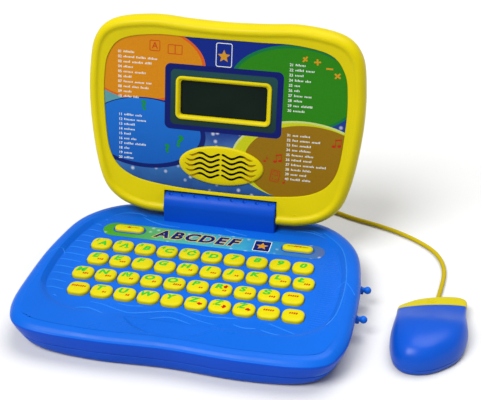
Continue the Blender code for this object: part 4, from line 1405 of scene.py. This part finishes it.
# Notes: place, size, whether two are joined, and turn.
NOTES = [
    (87.0, 75.2, 3.6, True, 0.0), (34.2, 58.2, 2.6, False, -0.2), (42.4, 58.6, 3.5, True, 0.1),
    (50.0, 42.0, 2.4, False, 0.2),
]
DEVICE_PLACE = (42.9, 47.0, -0.15)


def list_rows(x, top, first, words):
    """Ten numbered rows, in which strokes of random width stand in for the words."""
    flats = []
    for row in range(10):
        y = top - row * ROW_PITCH
        flats.append(moved(glyphs("%02d" % (first + row), 2.9, 0.05, 0.0, 1.05), x + 1.6, y))
        left, foot = x + 4.6, y - 0.62
        for _ in range(words[row % len(words)]):
            for _ in range(random.randint(4, 8)):
                head = foot + 2 * random.choice(STROKE_HEIGHTS)
                stroke = [(left, foot), (left + 0.62, foot), (left + 0.74, head), (left + 0.12, head)]
                flats.append(flat_shape(stroke))
                left += 1.12
            left += 1.3
    return flats


def small_pictures():
    """A letter block's frame, an open book and a small device with a screen and two knobs."""
    block = rounded_rectangle(8.4, 8.4, 1.2, (-54.6, 141.4), 4)
    book = rounded_rectangle(11.5, 7.4, 0.8, (-38.6, 139.6), 4)
    spine = [(-38.9, 136), (-38.3, 136), (-38.3, 143.2), (-38.9, 143.2)]
    pictures = [(ring_shape(block, 0.55), 4), (ring_shape(book, 0.5), 4), (flat_shape(spine), 4)]
    device = [ring_shape(rounded_rectangle(7.4, 9.6, 1.0, steps=4), 0.55)]
    device.append(ring_shape(rounded_rectangle(4.4, 3.0, 0.3, (0, 1.9), 2), 0.4))
    device += [flat_shape(ellipse((x, -2.6), (0.6, 0.6), 12)) for x in (-1.4, 1.4)]
    return pictures + [(moved(shape, *DEVICE_PLACE), 3) for shape in device]


def add_panel_print():
    """White numbered lists and small signs, each a thin layer of ink on the sheet."""
    plane = bmesh.new()
    corners = ((-120, 0), (120, 0), (120, 180), (-120, 180))
    plane.faces.new([plane.verts.new((x, PANEL_DEPTH, height)) for x, height in corners])
    surface = BVHTree.FromBMesh(plane)
    plane.free()
    signs = [(flat, 0) for place in LISTS for flat in list_rows(*place)]
    signs.append((ring_shape(rounded_rectangle(12.6, 18.4, 1.6, (-0.4, 138.4), 5), 0.55), 0))
    signs.append((flat_shape(star(-0.4, 137.4, 5.0)), 1))
    for text, (x, y), size, weight, wide, turn, number in FONT_SIGNS:
        signs.append((moved(glyphs(text, size, weight, 0, wide), x, y, turn), number))
    signs += [(note(*place), 3) for place in NOTES]
    signs += small_pictures()
    shapes = [paint(printed(flat, surface, INTO_LID, 0.05, 0.1), number) for flat, number in signs]
    inks = [panel_ink["white"], amber_ink, panel_ink["leaf"], panel_ink["red"], panel_ink["brick"]]
    add_piece("panel_signs", merge(*shapes), inks, "lid")


LID_SCREWS = [(-94, 40), (94, 40), (-97, 132), (97, 132), (-60, 18), (60, 18)]
LID_SCREW_PIT = [(0, 1), (3.2, 1), (2.9, -4.4), (0, -4.4)]
ARC_REACHES = (20, 32, 44, 56)
ARC_HEIGHT = 128
ARC_DEPTH = 19.2


def lid_arcs():
    """Raised arcs on the lid's back, thin at their ends."""
    arcs = []
    thickness = [0.9 * math.sin(math.pi * i / 32) ** 0.5 + 0.05 for i in range(33)]
    for reach in ARC_REACHES:
        line = []
        for i in range(33):
            angle = math.radians(200 + 140 * i / 32)
            height = ARC_HEIGHT + reach * math.sin(angle)
            line.append(Vector((reach * 1.25 * math.cos(angle), ARC_DEPTH, height)))
        arcs.append(tube(line, thickness, 8, 0.6, INTO_LID))
    return arcs


def add_lid_back():
    outline = lid_outline()
    rings = insets(outline, [(0.5, 10.15)], lid_ring)
    rings += smooth_stack(insets(outline, BACK_SECTION, lid_ring), 3)
    rings += insets(outline, [(16.4, 20.0), (17.6, 19.3)], lid_ring)
    rings += insets(inset(outline, 17), [(1.4, 19.2)], lid_ring)
    back = lid_half(rings, insets(outline, [(2.4, 9), (3, 14.5), (7.2, 17)], lid_ring))
    places = [Matrix.Translation((x, 21, height)) @ TO_REAR for x, height in LID_SCREWS]
    pits = [turned(LID_SCREW_PIT, place, 24) for place in places]
    back = merge(boolean(back, merge(*pits)), *lid_arcs())
    add_piece("lid_back_shell", back, lid_yellow, "lid", ["lid_back_cover"], 30)
    heads = screw_heads(LID_SCREWS, 0, 2.3)
    heads.transform(Matrix.Translation((0, 18.6, 0)) @ TO_FRONT)
    add_piece("lid_screws", heads, screw_steel, "lid")


# Mouse.

def mouse_outline():
    return smooth_closed(MOUSE_CONTROL, MOUSE_STEPS)


def below_rear(z, x, y):
    """A height on the dome, kept below the rear's height there with a soft change between them."""
    edge, low, slope, growth = MOUSE_REAR
    middle, arch = MOUSE_REAR_ARCH
    back = edge - y
    rear = low + slope * back + growth * back * abs(back) - arch * (x - middle) ** 2
    shares = math.exp(-z / MOUSE_REAR_BLEND) + math.exp(-rear / MOUSE_REAR_BLEND)
    return -MOUSE_REAR_BLEND * math.log(shares)


def mouse_rings(wall=0.0):
    """The dome's rings, each a smaller copy of the outline, and none above the low rear."""
    centre = Vector(MOUSE_CENTRE)
    rings = []
    for z, share in smooth_open(MOUSE_TOP_RINGS, 3):
        ring = []
        for point in inset(mouse_outline(), wall):
            place = centre + (point - centre) * share
            ring.append(Vector((place.x, place.y, below_rear(z, place.x, place.y) - wall)))
        rings.append(ring)
    rings[0] = [Vector((p.x, p.y, MOUSE_TOP_RINGS[0][0])) for p in rings[0]]
    return rings


def button_side(offset, lowest):
    """The space behind the line where the click bar starts."""
    bm = box((-60, offset, lowest), (60, 60, 60))
    bm.transform(Matrix.Translation((*BUTTON_LINE, 0)) @ Matrix.Rotation(BUTTON_ANGLE, 4, "Z"))
    return bm


def mouse_shell():
    shell = lofted(mouse_rings())
    hollow = mouse_rings(2.0)
    hollow[0] = [Vector((p.x, p.y, MOUSE_BASE_Z - 1)) for p in hollow[0]]
    return boolean(shell, lofted(hollow))


TRAY_SECTION = [(2.6, 0.0), (1.5, 0.4), (0.8, 1.2), (0.3, 3.0), (0.15, 4.3), (0.5, 4.6)]
# The rear end of the hole for the cord.
CORD_HOLE = (175.95, 40, 2.55)
# Each foot's place, half length and half width.
MOUSE_FEET = [(169, -48, 9, 2.6), (160, 8, 6, 2.4), (188, 18, 6, 2.4)]
MOUSE_SCREW = (173.6, -16)
MOUSE_SCREW_PROFILE = [(0, 1.2), (2.4, 1.2), (2.4, 0.8), (1.5, 0.45), (0, 0.4)]


def add_mouse_top():
    shell = boolean(mouse_shell(), button_side(-0.2, MOUSE_BASE_Z - 1))
    add_piece("mouse_dome", shell, mouse_blue, "mouse", ["mouse_top_shell"], sharp=35)
    button = boolean(mouse_shell(), button_side(0.2, MOUSE_BASE_Z + BUTTON_LIFT), "INTERSECT")
    surface = BVHTree.FromBMesh(button)
    signs = []
    for x, tall in ((170.2, 2.6), (173.4, 3.4)):
        signs.append(moved(ring_shape(ellipse((0, 0), (1.5, tall), 24), 0.5), x, 15.2, -0.45))
    button = merge(button, printed(merge(*signs), surface, DOWN, 0.25, 0.3))
    node = "mouse_button"
    add_piece("mouse_click_bar", button, mouse_yellow, node, [node], sharp=35)


def add_mouse_tray():
    outline = mouse_outline()
    tray = boolean(lofted(insets(outline, TRAY_SECTION)), lofted(insets(outline, [(3.2, 2.0), (2.2, 5.6)])))
    hole = [(0, 0), (2.0, 0), (2.0, 20), (0, 20)]
    tray = boolean(tray, turned(hole, Matrix.Translation(CORD_HOLE) @ TO_FRONT, 24))
    recesses, feet = [], []
    for x, y, half_length, half_width in MOUSE_FEET:
        pill = rounded_rectangle(2 * half_length, 2 * half_width, half_width - 0.01, (x, y), 6)
        recesses.append(prism(inset(pill, -0.3), -1, 0.9))
        feet.append(lofted(insets(pill, [(0.2, 0.0), (0, 0.25), (0, 0.85)])))
    recesses.append(standing([(0, -1), (2.8, -1), (2.8, 1.3), (0, 1.3)], *MOUSE_SCREW))
    tray = boolean(tray, merge(*recesses))
    add_piece("mouse_tray", tray, mouse_blue, "mouse", ["mouse_base"], sharp=35)
    add_piece("mouse_feet", merge(*feet), pad_rubber, "mouse")
    screw = slotted_screw(MOUSE_SCREW_PROFILE, MOUSE_SCREW, 1.6, 0.8)
    add_piece("mouse_screw", screw, screw_steel, "mouse")


def finish_inner_nodes():
    """Gives the inner CAD nodes, which keep their own shape, their real materials."""
    finishes = {
        "keypad_mat": pad_rubber, "circuit_board": board, "mouse_circuit_board": board,
        "hinge_axle": axle_steel, "lcd_module": lcd_glass, "speaker_driver": slot_dark,
    }
    for name, finish in finishes.items():
        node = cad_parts[name]
        node.data.materials.clear()
        node.data.materials.append(finish)


add_camera()
add_cord()
add_studio()
add_base_top()
add_base_bottom()
add_battery_door()
add_strip()
add_keys()
add_hinge()
add_lid_front()
add_window_rim()
add_speaker()
add_panel()
add_panel_print()
add_lid_back()
add_mouse_top()
add_mouse_tray()
finish_inner_nodes()
